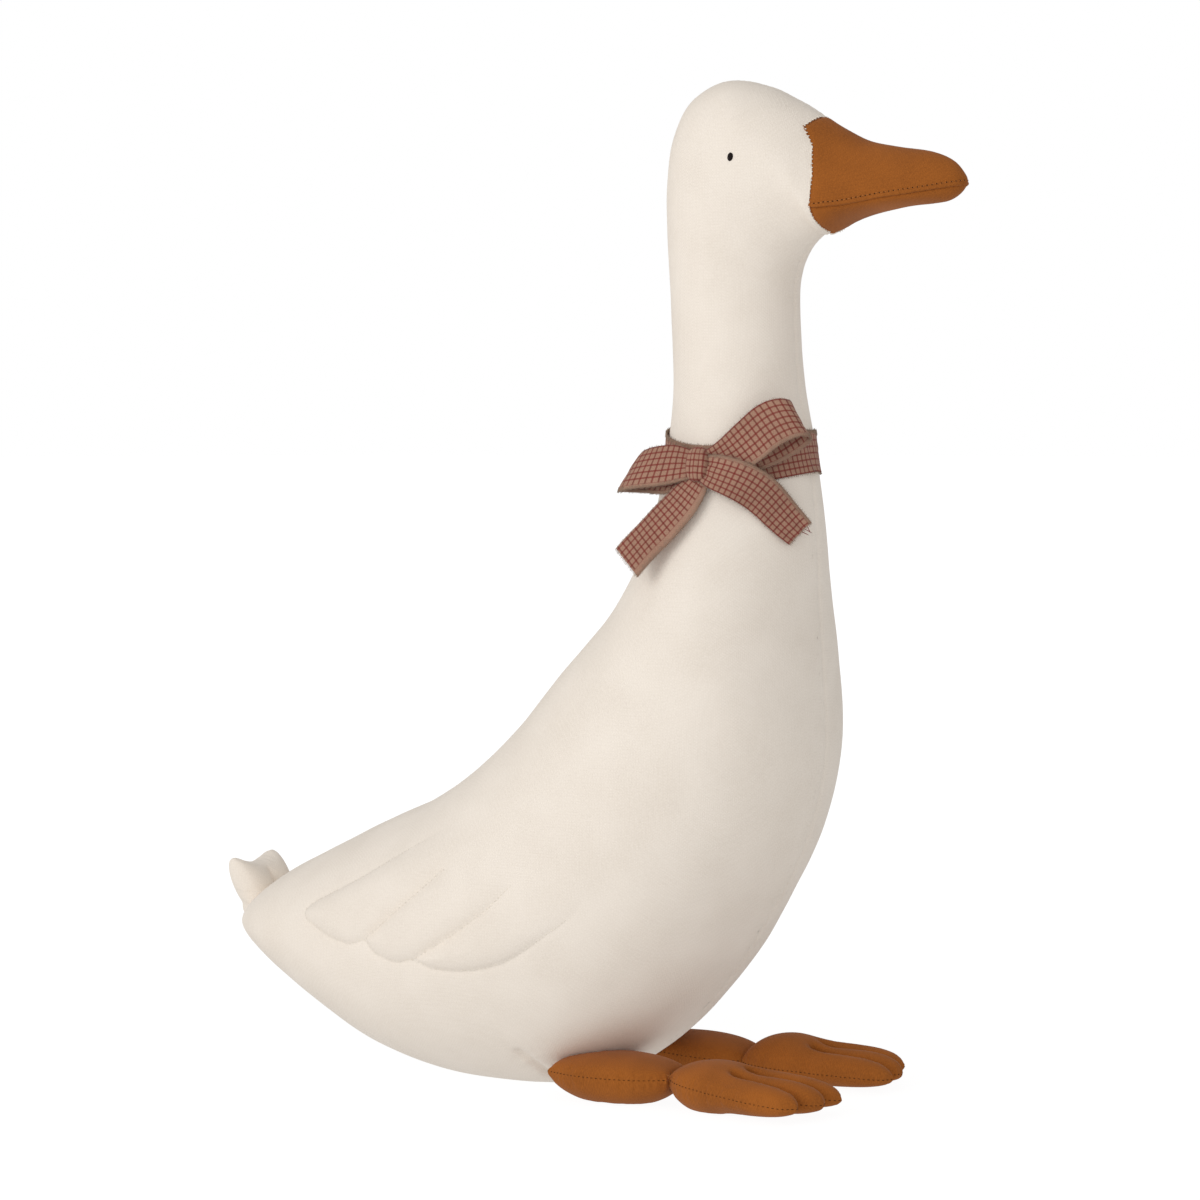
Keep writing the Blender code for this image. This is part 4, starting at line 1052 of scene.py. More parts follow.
@dataclass
class Bill:
    """The two stuffed halves of the bill: the upper one's edge is top-stitched and hangs over the lower."""

    form: Form
    sections: tuple[float, float] = (27.2, 35.0)  # the first and the last that it is cut from
    sides: int = 96
    rings: int = 110
    cell: float = 1.0 * MM
    softening: int = 2
    stitch_rise: float = 2.8 * MM  # from the lip's edge up to its row of stitches
    stitch_bed: tuple[float, float] = (0.45 * MM, 0.9 * MM)  # depth and width of the groove that they lie in
    stitch_step: float = 0.7 * MM
    stitch: ThreadRow = ThreadRow(2.8 * MM, 2.0 * MM, 0.3 * MM, sway=0.08)
    # dark marks of painted shade at the lip's needle holes
    hole_shade_thread: ThreadRow = ThreadRow(2.8 * MM, 0.95 * MM, 0.42 * MM)
    slip_stitch: ThreadRow = ThreadRow(2.6 * MM, 1.9 * MM, 0.42 * MM, sway=0.15)
    tuck: float = 1.2 * MM  # how far the halves reach into the head and into each other
    hem: tuple[float, float] = (-0.5 * MM, 1.1 * MM)  # the rolled edge of the lip: less than 0 stands out
    hem_drop: float = 0.72  # how far below the stitches it is, as a share of their rise
    base_seam: tuple[float, ...] = (1.0 * MM, 1.6 * MM, 0.08 * MM, 5 * MM)
    lump: float = 0.35 * MM
    lump_size: float = 18 * MM

    def half(self, name: str, outline: Sequence[tuple[float, float]], inset: float) -> Object:
        """Make one half: the loft of the bill kept in an outline, its cut edges turned in softly."""
        obj = self.form.loft(name, *self.sections, self.sides, self.rings, inset)
        cut(obj, self.form.ahead(-self.tuck), "INTERSECT")
        cut(obj, outline, "INTERSECT")
        modify(obj, "REMESH", mode="VOXEL", voxel_size=self.cell)
        modify(obj, "SMOOTH", factor=0.5, iterations=self.softening)
        bake_modifiers(obj)
        return obj

    def build(self, base: np.ndarray) -> tuple[Object, Object]:
        """Make the upper and the lower half.

        Args:
            base: the seam round the base of the bill.
        Returns:
            The upper and the lower half.
        """
        mouth = self.form.mouth()
        high = self.form.bill_seam()[-1][1]
        low = self.form.bill_seam()[0][1]
        below = [(x, z + self.tuck) for x, z in mouth]
        upper = self.half("bill_upper", mouth + [(mouth[-1][0], high), (mouth[0][0], high)], 0.0)
        lower = self.half("bill_lower", below + [(below[-1][0], low), (below[0][0], low)],
                          self.form.lip_overhang)
        skin = surface_of(upper)
        raised = even_path([(x, z + self.stitch_rise) for x, z in mouth], self.stitch_step)
        raised = raised[(raised[:, 0] > self.form.seam_x + 1 * MM)]
        self.rows = [from_the_side(skin, raised, side) for side in (-1, 1)]
        rolled = [(x, z - self.hem_drop * self.stitch_rise) for x, z in raised]
        edges = [from_the_side(skin, rolled, side) for side in (-1, 1)]
        lip = [*(Seam(row, *self.stitch_bed) for row in self.rows), *(Seam(row, *self.hem) for row in edges)]
        for obj, extra in ((upper, lip), (lower, [])):
            sew(obj, [Seam(base, *self.base_seam), *extra])
            lumps = self.lump * grain(places(obj), self.lump_size)
            lift_off(obj, places(obj), lumps)
        self.upper_skin = surface_of(upper)
        return upper, lower

    def stitches(self, threads: ThreadTree, ochre: Material, hole_shade_thread: Material,
                 cream: Material, base: np.ndarray, body: BVHTree) -> list[Object]:
        """Lay the row over the lip, dark marks of painted shade at its needle holes, and the slip stitches
        round the base.
        """
        rows = [Line.on(self.upper_skin, row, 0.08 * MM) for row in self.rows]
        half = round(0.5 * self.stitch.pitch / self.stitch_step)
        slip_line = Line.on(body, base, 0.2 * MM, across=True)
        return [threads.lay("lip_stitches", rows, self.stitch, ochre),
                threads.lay("lip_needle_hole_shade", [row.part(half) for row in rows], self.hole_shade_thread, hole_shade_thread),
                threads.lay("base_stitches", [slip_line], self.slip_stitch, cream)]


@dataclass
class Eyes:
    """Two small ovals of satin stitch, leaning forward at the top, laid on the head's skin."""

    form: Form
    width: float = 3.5 * MM
    height: float = 5.1 * MM
    rise: float = 1.0 * MM
    back: float = 47.5 * MM
    drop: float = 48.5 * MM
    tilt: float = math.radians(10)
    ridges: int = 9
    ridge: float = 0.05  # their height, as a share of the rise
    under: float = -0.4  # how deep the oval's flat back is
    sides: int = 48
    rings: int = 24

    def build(self, skin: BVHTree) -> list[Object]:
        """Make both eyes on the head's skin."""
        made = []
        for side, word in ((-1, "right"), (1, "left")):
            start = Vector((self.form.seam_x - self.back, side * self.form.head_width,
                            self.form.throat_z + self.form.head_height - self.drop))
            place, normal, _, _ = skin.ray_cast(start, Vector((0, -side, 0)))
            bm = bmesh.new()
            bmesh.ops.create_uvsphere(bm, u_segments=self.sides, v_segments=self.rings, radius=1.0)
            for vert in bm.verts:
                ridge = 1.0 + self.ridge * math.cos(math.tau * self.ridges * vert.co.y / 2)
                vert.co = (vert.co.x * self.width / 2, vert.co.y * self.height / 2,
                           (max(vert.co.z, self.under) * ridge) * self.rise)
            across = Vector((0, 0, 1)).cross(normal).normalized()
            axes = Matrix((across, normal.cross(across), normal)).transposed().to_4x4()
            seat = Matrix.Translation(place + normal * 0.1 * MM) @ axes
            bmesh.ops.transform(bm, matrix=seat @ Matrix.Rotation(side * self.tilt, 4, "Z"), verts=bm.verts)
            made.append(piece("eye_stitched_" + word, bm))
        return made


# Stuffed pouches

@dataclass
class Net:
    """A flat outline filled with triangles, with its rim and its stitched lines marked."""

    points: np.ndarray
    faces: list[Sequence[int]]
    rim: np.ndarray
    stitched: np.ndarray
    round_rim: list[int]  # the rim's points in the outline's order

    @classmethod
    def fill(cls, outline: np.ndarray, lines: Sequence[np.ndarray], cell: float) -> "Net":
        """Fill an outline with even triangles that keep the stitched lines as edges."""
        points = [Vector(p) for p in outline]
        edges = []
        for line in lines:
            edges.extend((len(points) + k, len(points) + k + 1) for k in range(len(line) - 1))
            points.extend(Vector(p) for p in line)
        until = len(points)
        low, high = outline.min(axis=0), outline.max(axis=0)
        row_height = cell * math.sqrt(0.75)
        grid = np.array([(low[0] + (column + 0.5 * (row % 2)) * cell, low[1] + (row + 0.5) * row_height)
                         for row in range(int((high[1] - low[1]) / row_height) + 1)
                         for column in range(int((high[0] - low[0]) / cell) + 1)])
        keep = within(grid, outline)
        for path in [np.vstack([outline, outline[:1]]), *lines]:
            keep &= nearest(grid, path)[0] > 0.6 * cell
        points.extend(Vector(p) for p in grid[keep])
        while True:
            rounds = [list(range(len(outline)))]
            verts, _, faces, origins, *_ = delaunay_2d_cdt(points, edges, rounds, 1, 1e-6)
            rim = {i for i, old in enumerate(origins) if any(k < len(outline) for k in old)}
            sides = Counter(tuple(sorted((f[k], f[(k + 1) % 3]))) for f in faces for k in range(3))
            bridges = [side for side, count in sides.items() if count == 2 and rim.issuperset(side)]
            if not bridges:
                break
            points.extend((verts[i] + verts[j]) / 2 for i, j in bridges)
        stitched = {i for i, old in enumerate(origins)
                    if i not in rim and any(len(outline) <= k < until for k in old)}
        marks = [np.array([i in chosen for i in range(len(verts))]) for chosen in (rim, stitched)]
        round_rim = sorted(rim, key=lambda i: min(origins[i]))
        return cls(np.array([tuple(v) for v in verts]), faces, *marks, round_rim)

    def fullness(self, pinch: np.ndarray) -> np.ndarray:
        """Give how far each point rises when the net is blown up like a skin held at its seams.

        Args:
            pinch: for each point, the share of the full height that it keeps where it is stitched.
        Returns:
            A share for each point, 0 on the rim and 1 at the crown.
        """
        count = len(self.points)
        stiffness = np.zeros((count, count))
        load = np.zeros(count)
        for face in self.faces:
            corners = self.points[list(face)]
            area = 0.0
            for k in range(3):
                i, j = face[k], face[(k + 1) % 3]
                u, v = corners[k] - corners[(k + 2) % 3], corners[(k + 1) % 3] - corners[(k + 2) % 3]
                cross = abs(u[0] * v[1] - u[1] * v[0])
                weight = 0.5 * (u @ v) / cross
                stiffness[[i, j, i, j], [i, j, j, i]] += (weight, weight, -weight, -weight)
                area = cross / 2
            load[list(face)] += area / 3
        free = ~(self.rim | self.stitched)
        height = np.zeros(count)
        height[free] = np.linalg.solve(stiffness[np.ix_(free, free)], load[free])
        height[self.stitched] = height.max() * pinch[self.stitched] ** 2
        pull = load[free] - stiffness[np.ix_(free, self.stitched)] @ height[self.stitched]
        height[free] = np.linalg.solve(stiffness[np.ix_(free, free)], pull)
        return np.sqrt(np.maximum(height, 0.0) / height.max())


@dataclass(frozen=True)
class Stuffing:
    """How a sewn bag is blown up by cloth simulation, so that its rim puckers as real cloth does."""

    frames: int = 22
    pressure: float = 12.0
    quality: int = 7
    mass: float = 0.2
    tension: float = 12.0
    shear: float = 4.0
    bending: float = 0.05
    damping: float = 4.0
    most: float = 2.2 * MM  # no point moves farther than this from the sewn shape
    slack: tuple[float, float] = (1.06, 1.14)  # how much longer and wider the flat panels are cut

    def as_cut(self, net: Net) -> np.ndarray:
        """Give a net's points in the flat panel, which is cut larger than the sewn shape."""
        middle = net.points.mean(axis=0)
        return middle + (net.points - middle) * self.slack

    def fill(self, obj: Object, flat: np.ndarray) -> None:
        """Blow up a bag.

        Args:
            obj: the bag in its sewn shape.
            flat: each vertex's place in the flat panels, as cut.
        """
        start = places(obj)
        obj.shape_key_add(name="sewn")
        cut_shape = obj.shape_key_add(name="cut", from_mix=False)
        cut_shape.data.foreach_set("co", flat.ravel())
        cloth = obj.modifiers.new("stuffing", "CLOTH")
        settings = cloth.settings
        settings.rest_shape_key = cut_shape
        settings.quality = self.quality
        settings.mass = self.mass
        settings.tension_stiffness = settings.compression_stiffness = self.tension
        settings.shear_stiffness = self.shear
        settings.bending_stiffness = self.bending
        settings.air_damping = self.damping
        settings.use_pressure = True
        settings.uniform_pressure_force = self.pressure
        settings.effector_weights.gravity = 0.0
        cloth.collision_settings.use_collision = False
        cloth.point_cache.frame_start = 1
        cloth.point_cache.frame_end = self.frames
        scene = bpy.context.scene
        for number in range(1, self.frames + 1):
            scene.frame_set(number)
        moved = places(obj.evaluated_get(bpy.context.evaluated_depsgraph_get())) - start
        obj.modifiers.clear()
        obj.shape_key_clear()
        scene.frame_set(1)
        length = np.linalg.norm(moved, axis=1, keepdims=True)
        log.info("%s: cloth moved %.1f mm at most, %.1f mm on average", obj.name, length.max() / MM,
                 length.mean() / MM)
        moved *= np.tanh(length / self.most) * self.most / np.maximum(length, 1e-9)
        move_to(obj, start + moved)


def make_pouch(name: str, net: Net, over: Callable[[int], Sequence[float]],
               under: Callable[[int], Sequence[float]]) -> tuple[Object, np.ndarray]:
    """Sew two skins of a net together at the rim.

    Args:
        name: the new object's name.
        net: the flat net.
        over: the place of each point on the upper skin.
        under: the place of each point on the lower skin.
    Returns:
        The pouch, and the number of the net's point under each of its vertices.
    """
    bm = bmesh.new()
    upper = [bm.verts.new(over(i)) for i in range(len(net.points))]
    numbers = list(range(len(net.points)))
    lower = []
    for i in range(len(net.points)):
        if net.rim[i]:
            lower.append(upper[i])
        else:
            lower.append(bm.verts.new(under(i)))
            numbers.append(i)
    layer = bm.loops.layers.uv.new("panel")
    for face in net.faces:
        for skin, order in ((upper, face), (lower, tuple(reversed(face)))):
            made = bm.faces.new([skin[i] for i in order])
            for loop, i in zip(made.loops, order):
                loop[layer].uv = net.points[i]
    bmesh.ops.recalc_face_normals(bm, faces=bm.faces)
    return piece(name, bm), np.array(numbers)


def finer(obj: Object) -> None:
    """Round an object off with one step of subdivision."""
    modify(obj, "SUBSURF", levels=1, render_levels=1)
    bake_modifiers(obj)


def both_sides(half: Sequence[tuple]) -> list[tuple]:
    """Give a closed outline from its half on the right; a point on the middle line is kept once."""
    return [*half, *((x, -y, *rest) for x, y, *rest in reversed(half) if y)]


def mirror_over(obj: Object) -> None:
    """Move an object to the goose's other side."""
    obj.data.transform(Matrix.Scale(-1, 4, Vector((0, 1, 0))))
    obj.data.flip_normals()


@dataclass
class Legs:
    """Two legs that lie on the floor, each a stuffed thigh and a stuffed foot sewn together at the ankle."""

    skin: BVHTree
    cell: float = 2.4 * MM
    leg_side: float = 53 * MM
    thigh_rear_x: float = 52 * MM
    thigh_length: float = 80 * MM
    thigh_width: float = 58 * MM
    thigh_root_width: float = 40 * MM
    thigh_seam_z: float = 17 * MM
    ankle_seam_z: dict[str, float] = field(default_factory=lambda: {"right": 17 * MM, "left": 11 * MM})
    thigh_thickness: dict[str, float] = field(default_factory=lambda: {"right": 29 * MM, "left": 24 * MM})
    ankle_width: float = 30 * MM
    ankle_lap: float = 2.6 * MM  # how far thigh and foot are sewn over each other
    foot_length: float = 101 * MM
    foot_width: float = 64 * MM
    foot_seam_z: float = 9 * MM
    foot_thickness: float = 28 * MM
    foot_inset: float = 3 * MM
    foot_splay: float = math.radians(4.5)
    foot_skew: float = 0.25
    toe_notch: float = 7 * MM
    notch_end: float = 1.60 * toe_notch  # how far behind the middle toe's tip the notches end
    toe_line: float = 45 * MM
    crease: tuple[float, ...] = (1.8 * MM, 2.4 * MM, 0.3 * MM)  # between toes: depth, width and pucker
    pocket: float = 7.0 * MM  # how long the deep rear end of a crease is
    pocket_seam: tuple[float, ...] = (1.5 * MM, 4.5 * MM)
    rim_seam: tuple[float, ...] = (0.6 * MM, 1.5 * MM, 0.22 * MM, 5.5 * MM)
    stitch: ThreadRow = ThreadRow(3.0 * MM, 1.7 * MM, 0.2 * MM, sway=0.15)
    loose_end: ThreadRow = ThreadRow(0.7 * MM, 4.2 * MM, 0.17 * MM, 0.4, 0.8, 0.4)
    loose_ends: int = 4
    pinch: float = 1.2 * MM  # what is left of the height at the ends of a stitched line
    swell: float = 5.0 * MM  # how much higher its middle is
    flatness: float = 1.2  # more than 1 spreads the part of the underside that lies on the floor
    press_gap: float = 0.5 * MM
    seams: list[Line] = field(default_factory=list)

    def thigh_outline(self) -> list[tuple]:
        """Give the right thigh from above: a leaf with a square root and a narrower, square ankle."""
        x, long, wide = self.thigh_rear_x, self.thigh_length, self.thigh_width
        half = [(x, -self.thigh_root_width / 2, True), (x + 0.25 * long, -0.47 * wide),
                (x + 0.52 * long, -0.50 * wide), (x + 0.80 * long, -0.42 * wide),
                (x + long, -self.ankle_width / 2, True)]
        return [(x, y - self.leg_side, *rest) for x, y, *rest in both_sides(half)]

    def foot_point(self, forward: float, side: float) -> tuple[float, float]:
        """Give a point of the right foot from above, turned out while its ankle stays square."""
        start = self.thigh_rear_x + self.thigh_length - self.ankle_lap
        forward += self.foot_skew * side * min(1.0, max(0.0, forward / self.foot_length))
        return (start + forward, self.foot_inset - self.leg_side + side - math.tan(self.foot_splay) * forward)

    def foot_outline(self) -> list[tuple]:
        """Give the right foot from above: square ankle, wide sole and three short toes."""
        toe, tip, notch, wide = self.foot_width / 3, self.foot_length, self.toe_notch, self.foot_width
        half = [(0.0, -self.ankle_width / 2, True), (0.14 * tip, -0.37 * wide), (0.38 * tip, -0.45 * wide),
                (0.72 * tip, -0.49 * wide), (tip - 1.50 * notch, -1.36 * toe),
                (tip - 0.35 * notch, -1.02 * toe, True), (tip - 0.90 * notch, -0.70 * toe),
                (tip - self.notch_end, -0.50 * toe, True), (tip - 0.55 * notch, -0.34 * toe), (tip, 0.0)]
        return [(*self.foot_point(x, y), *rest) for x, y, *rest in both_sides(half)]

    def toe_lines(self) -> list[np.ndarray]:
        """Give the two stitched lines between the toes, from the notches back over the foot."""
        notch = self.foot_length - self.notch_end
        steps = round(self.toe_line / self.cell)
        return [np.array([self.foot_point(notch - self.toe_line * k / steps,
                                          way * (0.5 - 0.1 * k / steps) * self.foot_width / 3)
                          for k in range(1, steps + 1)]) for way in (-1, 1)]

    def creases(self, obj: Object, lines: Sequence[np.ndarray]) -> list[Seam]:
        """Give the seams between the toes on top of a foot, each with a deep pocket at its rear end."""
        skin = surface_of(obj)
        side = math.copysign(1.0, sum(vert.co.y for vert in obj.data.vertices))
        seams = []
        for line in lines:
            found = [skin.ray_cast(Vector((x, -side * y, FAR)), Vector((0, 0, -1)))[0] for x, y in line]
            path = np.array([hit for hit in found if hit is not None])
            pocket = path[-max(2, round(self.pocket / self.cell)):]
            seams += [Seam(path, *self.crease), Seam(pocket, *self.pocket_seam)]
        return seams

    def ceiling(self, x: float, y: float) -> float:
        """Give the height of the belly's underside over a point of the floor."""
        hit, _, _, _ = self.skin.ray_cast(Vector((x, y, -FAR)), Vector((0, 0, 1)))
        return math.inf if hit is None else max(hit.z - self.press_gap, 0.0)

    def pouch(self, name: str, net: Net, seam_z: tuple[float, float], thickness: float) -> Object:
        """Make a pouch that lies on the floor with its top held under the belly.

        Args:
            name: the new object's name.
            net: the flat net, for the goose's right.
            seam_z: the height of the side seam at the pouch's rear and at its front.
            thickness: the height of the pouch.
        Returns:
            The stuffed pouch.
        """
        rear, length = net.points[:, 0].min(), np.ptp(net.points[:, 0])
        toes = self.toe_line + self.notch_end
        ahead = np.clip((rear + length - net.points[:, 0]) / toes, 0.0, 1.0)
        rise = net.fullness((self.pinch + self.swell * np.sin(math.pi * ahead)) / thickness)
        seam = seam_z[0] + (seam_z[1] - seam_z[0]) * (net.points[:, 0] - rear) / length
        roof = np.array([self.ceiling(x, y) for x, y in net.points])
        top = np.minimum(seam + (thickness - seam) * rise, roof)
        foot = np.maximum(np.minimum(seam * (1 - self.flatness * rise), top - self.pinch), 0.0)
        obj, numbers = make_pouch(name, net, lambda i: (*net.points[i], top[i]),
                                  lambda i: (*net.points[i], foot[i]))
        stuffing = Stuffing()
        stuffing.fill(obj, np.column_stack([stuffing.as_cut(net)[numbers], seam[numbers]]))
        points = places(obj)
        points[:, 2] = np.clip(points[:, 2], 0.0, np.maximum(roof[numbers], 0.2 * MM))
        move_to(obj, points)
        return obj

    def build(self, word: str) -> dict[str, Object]:
        """Make one leg.

        Args:
            word: right or left.
        Returns:
            The thigh and the foot by the names of the solids that they stand for.
        """
        made = {}
        ankle_z = self.ankle_seam_z[word]
        shapes = {
            "thigh": (self.thigh_outline(), [], (self.thigh_seam_z, ankle_z), self.thigh_thickness[word]),
            "foot": (self.foot_outline(), self.toe_lines(), (ankle_z, self.foot_seam_z), self.foot_thickness),
        }
        for part, (outline, lines, seam_z, thickness) in shapes.items():
            net = Net.fill(smooth_outline(outline, self.cell), lines, self.cell)
            obj = self.pouch(f"{part}_bag_{word}", net, seam_z, thickness)
            seam = places(obj)[net.round_rim]
            finer(obj)
            if word == "left":
                mirror_over(obj)
                seam = seam * (1, -1, 1)
            sew(obj, [Seam(seam, *self.rim_seam), *self.creases(obj, lines)])
            self.seams.append(Line.on(surface_of(obj), even_path(seam, 1.0 * MM), 0.1 * MM))
            made[f"{part}_{word}"] = obj
        return made

    def stitches(self, threads: ThreadTree, hole_shade_thread: Material,
                 ochre: Material) -> list[Object]:
        """Lay the stitches that show in the side seams, and the thread ends at the right ankle."""
        count = self.loose_ends
        ankle = Vector((self.thigh_rear_x + self.thigh_length, -self.leg_side - self.ankle_width / 2 + 1 * MM,
                        self.thigh_seam_z))
        points = np.array([ankle + Vector((0.6, 0.0, 1.0)) * k * MM for k in range(count)])
        out = np.tile(Vector((0.15, -0.75, 0.6)).normalized(), (count, 1))
        tuft = Line(points, out, np.tile((0.0, 0.0, 1.0), (count, 1)))
        # the side-seam stitches are drawn in the dark colour of the needle-hole shade
        return [threads.lay("leg_stitches", self.seams, self.stitch, hole_shade_thread),
                threads.lay("ankle_thread_ends", [tuft], self.loose_end, ochre, 6)]


@dataclass
class Tail:
    """The tail: a small stuffed pouch that stands up behind the rump, pinched at its root."""

    form: Form
    skin: BVHTree
    cell: float = 1.8 * MM
    height: float = 42 * MM
    width: float = 48 * MM
    root_width: float = 40 * MM
    thickness: float = 25 * MM
    dip: float = 4.5 * MM
    dent: float = 0.62  # what is left of the thickness in the dent down its middle
    root_x: float = -188 * MM
    root_z: float = 85 * MM
    lean: float = math.radians(22)
    press_gap: float = 0.3 * MM

    def build(self) -> Object:
        """Make the tail against the rump."""
        high, wide = self.height, self.width
        half = [(0.0, -self.root_width / 2, True), (0.30 * high, -0.49 * wide), (0.70 * high, -0.54 * wide),
                (0.97 * high, -0.52 * wide), (high, -0.44 * wide), (high - 0.8 * self.dip, -0.20 * wide),
                (high - self.dip, 0.0)]
        middle_line = even_path([(0.25 * high, 0.0), (0.82 * high, 0.0)], self.cell)
        net = Net.fill(smooth_outline(both_sides(half), self.cell), [middle_line], self.cell)
        rise = net.fullness(np.full(len(net.points), self.dent)) * self.thickness / 2

        def place(i: int, forwards: float) -> tuple[float, float, float]:
            """Give a point's place, held off the rump."""
            up, side = net.points[i]
            middle = self.root_x - up * math.sin(self.lean)
            z = self.root_z + up * math.cos(self.lean)
            hit, _, _, _ = self.skin.ray_cast(Vector((middle - 2 * FAR, side, z)), Vector((1, 0, 0)))
            limit = math.inf if hit is None else hit.x - self.press_gap
            return min(min(middle, limit) + forwards, limit), side, z

        obj, numbers = make_pouch("tail_bag", net, lambda i: place(i, rise[i]),
                                  lambda i: place(i, -max(rise[i], 1.0 * MM)))
        stuffing = Stuffing(most=1.8 * MM)
        up, side = stuffing.as_cut(net)[numbers].T
        stuffing.fill(obj, np.column_stack([self.root_x - up * math.sin(self.lean), side,
                                            self.root_z + up * math.cos(self.lean)]))
        finer(obj)
        return obj


# Neck ribbon

class Row(NamedTuple):
    """A row of a ribbon's path.

    Degrees round the neck from the knot, distance off the neck and height above the knot in ribbon widths,
    the slope of the path in degrees, and the width there as a share of the full width.
    """

    turn: float
    off: float
    rise: float
    slope: float
    width: float


@dataclass
class Ribbon:
    """The checked ribbon: a band round the neck, tied on the goose's right in a bow with two tails."""

    form: Form
    neck: BVHTree
    width: float = 25 * MM
    thickness: float = 0.7 * MM
    clear: float = 0.5 * MM
    z: float = 383 * MM
    lift: float = 8 * MM
    angle: float = math.radians(-88)
    knot_width: float = 13 * MM
    knot_height: float = 21 * MM
    knot_thickness: float = 11 * MM
    knot_pleat: float = 0.11  # how deep the knot's upright pleats are, as a share of its thickness
    steps: int = 7
    band_steps: int = 150
    across: int = 12
    pleat: float = 0.9 * MM
    ripple: float = 0.5 * MM
    ripple_scale: tuple[float, float] = (60.0, 2.2)  # in lumps to a metre of path, and to half the width
    curl: float = 0.6 * MM  # how far the edges curl up
    turned_over: Sequence[str] = ("band", "right_tail")  # with the edge without lines at the top
    # How much wider that edge is on a strip.
    worn: dict[str, float] = field(default_factory=lambda: {"left_tail": 2.4 * MM})
    cross_thread: ThreadRow = ThreadRow(0.75 * MM, 3.0 * MM, 0.16 * MM, -0.3, 0.12, 0.35, 4)
    cross_rise: float = 0.05 * MM
    fuzz: ThreadRow = ThreadRow(0.7 * MM, 1.5 * MM, 0.13 * MM, 0.2, 0.5, 0.6, 4)
    fringe: ThreadRow = ThreadRow(0.5 * MM, 2.2 * MM, 0.15 * MM, 0.25, 0.25, 0.5, 4)
    red_thread: ThreadRow = ThreadRow(2.4 * MM, 6.5 * MM, 0.26 * MM, 0.4, 0.35, 0.2, 5)
    red_at: tuple[int, int] = (7, 11)  # the points of the right tail's end that they stick out of
    right_loop: Sequence[Row] = (
        Row(3, 0.22, 0.06, 15, 0.55), Row(13, 0.24, 0.14, 28, 0.75), Row(24, 0.29, 0.34, 36, 0.95),
        Row(33, 0.46, 0.62, 38, 1.04), Row(41, 0.62, 0.92, 36, 1.06), Row(47, 0.80, 1.10, 33, 1.06),
        Row(52, 0.96, 1.18, 30, 1.02), Row(57, 0.96, 1.15, 28, 0.98), Row(60, 0.80, 1.04, 26, 0.95),
        Row(57, 0.54, 0.82, 26, 0.95), Row(46, 0.28, 0.50, 26, 0.9), Row(29, 0.18, 0.22, 20, 0.8),
        Row(12, 0.15, 0.06, 10, 0.65), Row(2, 0.14, 0.0, 5, 0.5))
    left_loop: Sequence[Row] = (
        Row(-3, 0.26, 0.04, 0, 0.6), Row(-10, 0.34, 0.05, -2, 0.8), Row(-19, 0.52, 0.03, -6, 0.98),
        Row(-28, 0.78, -0.02, -12, 1.02), Row(-36, 0.95, -0.09, -18, 1.02), Row(-42, 0.98, -0.16, -23, 1.0),
        Row(-45, 0.86, -0.20, -24, 0.98), Row(-44, 0.66, -0.22, -20, 0.95), Row(-36, 0.40, -0.24, -14, 0.90),
        Row(-22, 0.24, -0.28, -8, 0.8), Row(-10, 0.17, -0.20, -4, 0.65), Row(-2, 0.14, -0.08, 0, 0.5))
    right_tail: Sequence[Row] = (
        Row(2, 0.20, -0.02, -12, 0.58), Row(12, 0.37, -0.10, -20, 0.82), Row(24, 0.41, -0.26, -28, 0.95),
        Row(34, 0.31, -0.47, -35, 0.98), Row(43, 0.20, -0.74, -42, 0.96), Row(51, 0.14, -1.05, -46, 0.92),
        Row(58, 0.16, -1.34, -48, 0.86), Row(64, 0.20, -1.58, -48, 0.78))
    left_tail: Sequence[Row] = (
        Row(1, 0.20, -0.26, 62, 0.55), Row(-4, 0.22, -0.56, 58, 0.82), Row(-9, 0.27, -0.90, 54, 0.95),
        Row(-15, 0.38, -1.28, 50, 1.0), Row(-20, 0.52, -1.64, 48, 1.0), Row(-24, 0.66, -1.98, 48, 1.0),
        Row(-27, 0.78, -2.26, 48, 1.0))

    def off_neck(self, angle: float, z: float) -> tuple[Vector, Vector, Vector, Vector]:
        """Give the neck's surface at an angle and a height, its normal, and the ways up and straight out."""
        out = Vector((math.cos(angle), math.sin(angle), 0.0))
        place, normal, _, _ = self.neck.ray_cast(Vector((self.form.neck_x, 0.0, z)) + out * FAR, -out)
        return place, normal, (Vector((0, 0, 1)) - normal * normal.z).normalized(), out

    def hold_off(self, point: Vector, least: float) -> Vector:
        """Move a point straight out where it is less than least from the neck."""
        place, _, _, out = self.off_neck(math.atan2(point.y, point.x - self.form.neck_x), point.z)
        return point + out * max(0.0, least - (point - place).dot(out))

    def band_rows(self) -> list[Row]:
        """Give the rows of the band that goes round the neck."""
        rows = []
        for k in range(self.band_steps):
            turn = math.tau * k / self.band_steps
            slope = math.degrees(math.atan2(self.lift * math.sin(2 * turn), self.form.neck_width / 2))
            rows.append(Row(math.degrees(turn), (self.clear + self.thickness / 2) / self.width,
                            self.lift / self.width * math.sin(turn) ** 2, slope, 1.0))
        return rows

    def smooth_rows(self, rows: Sequence[Row]) -> list[Row]:
        """Put smooth steps between the rows of an open path."""
        ends = np.array([rows[0], *rows, rows[-1]])
        out = []
        for i in range(len(rows) - 1):
            out.extend(Row(*smooth_step(*ends[i:i + 4], k / self.steps)) for k in range(self.steps))
        return [*out, rows[-1]]

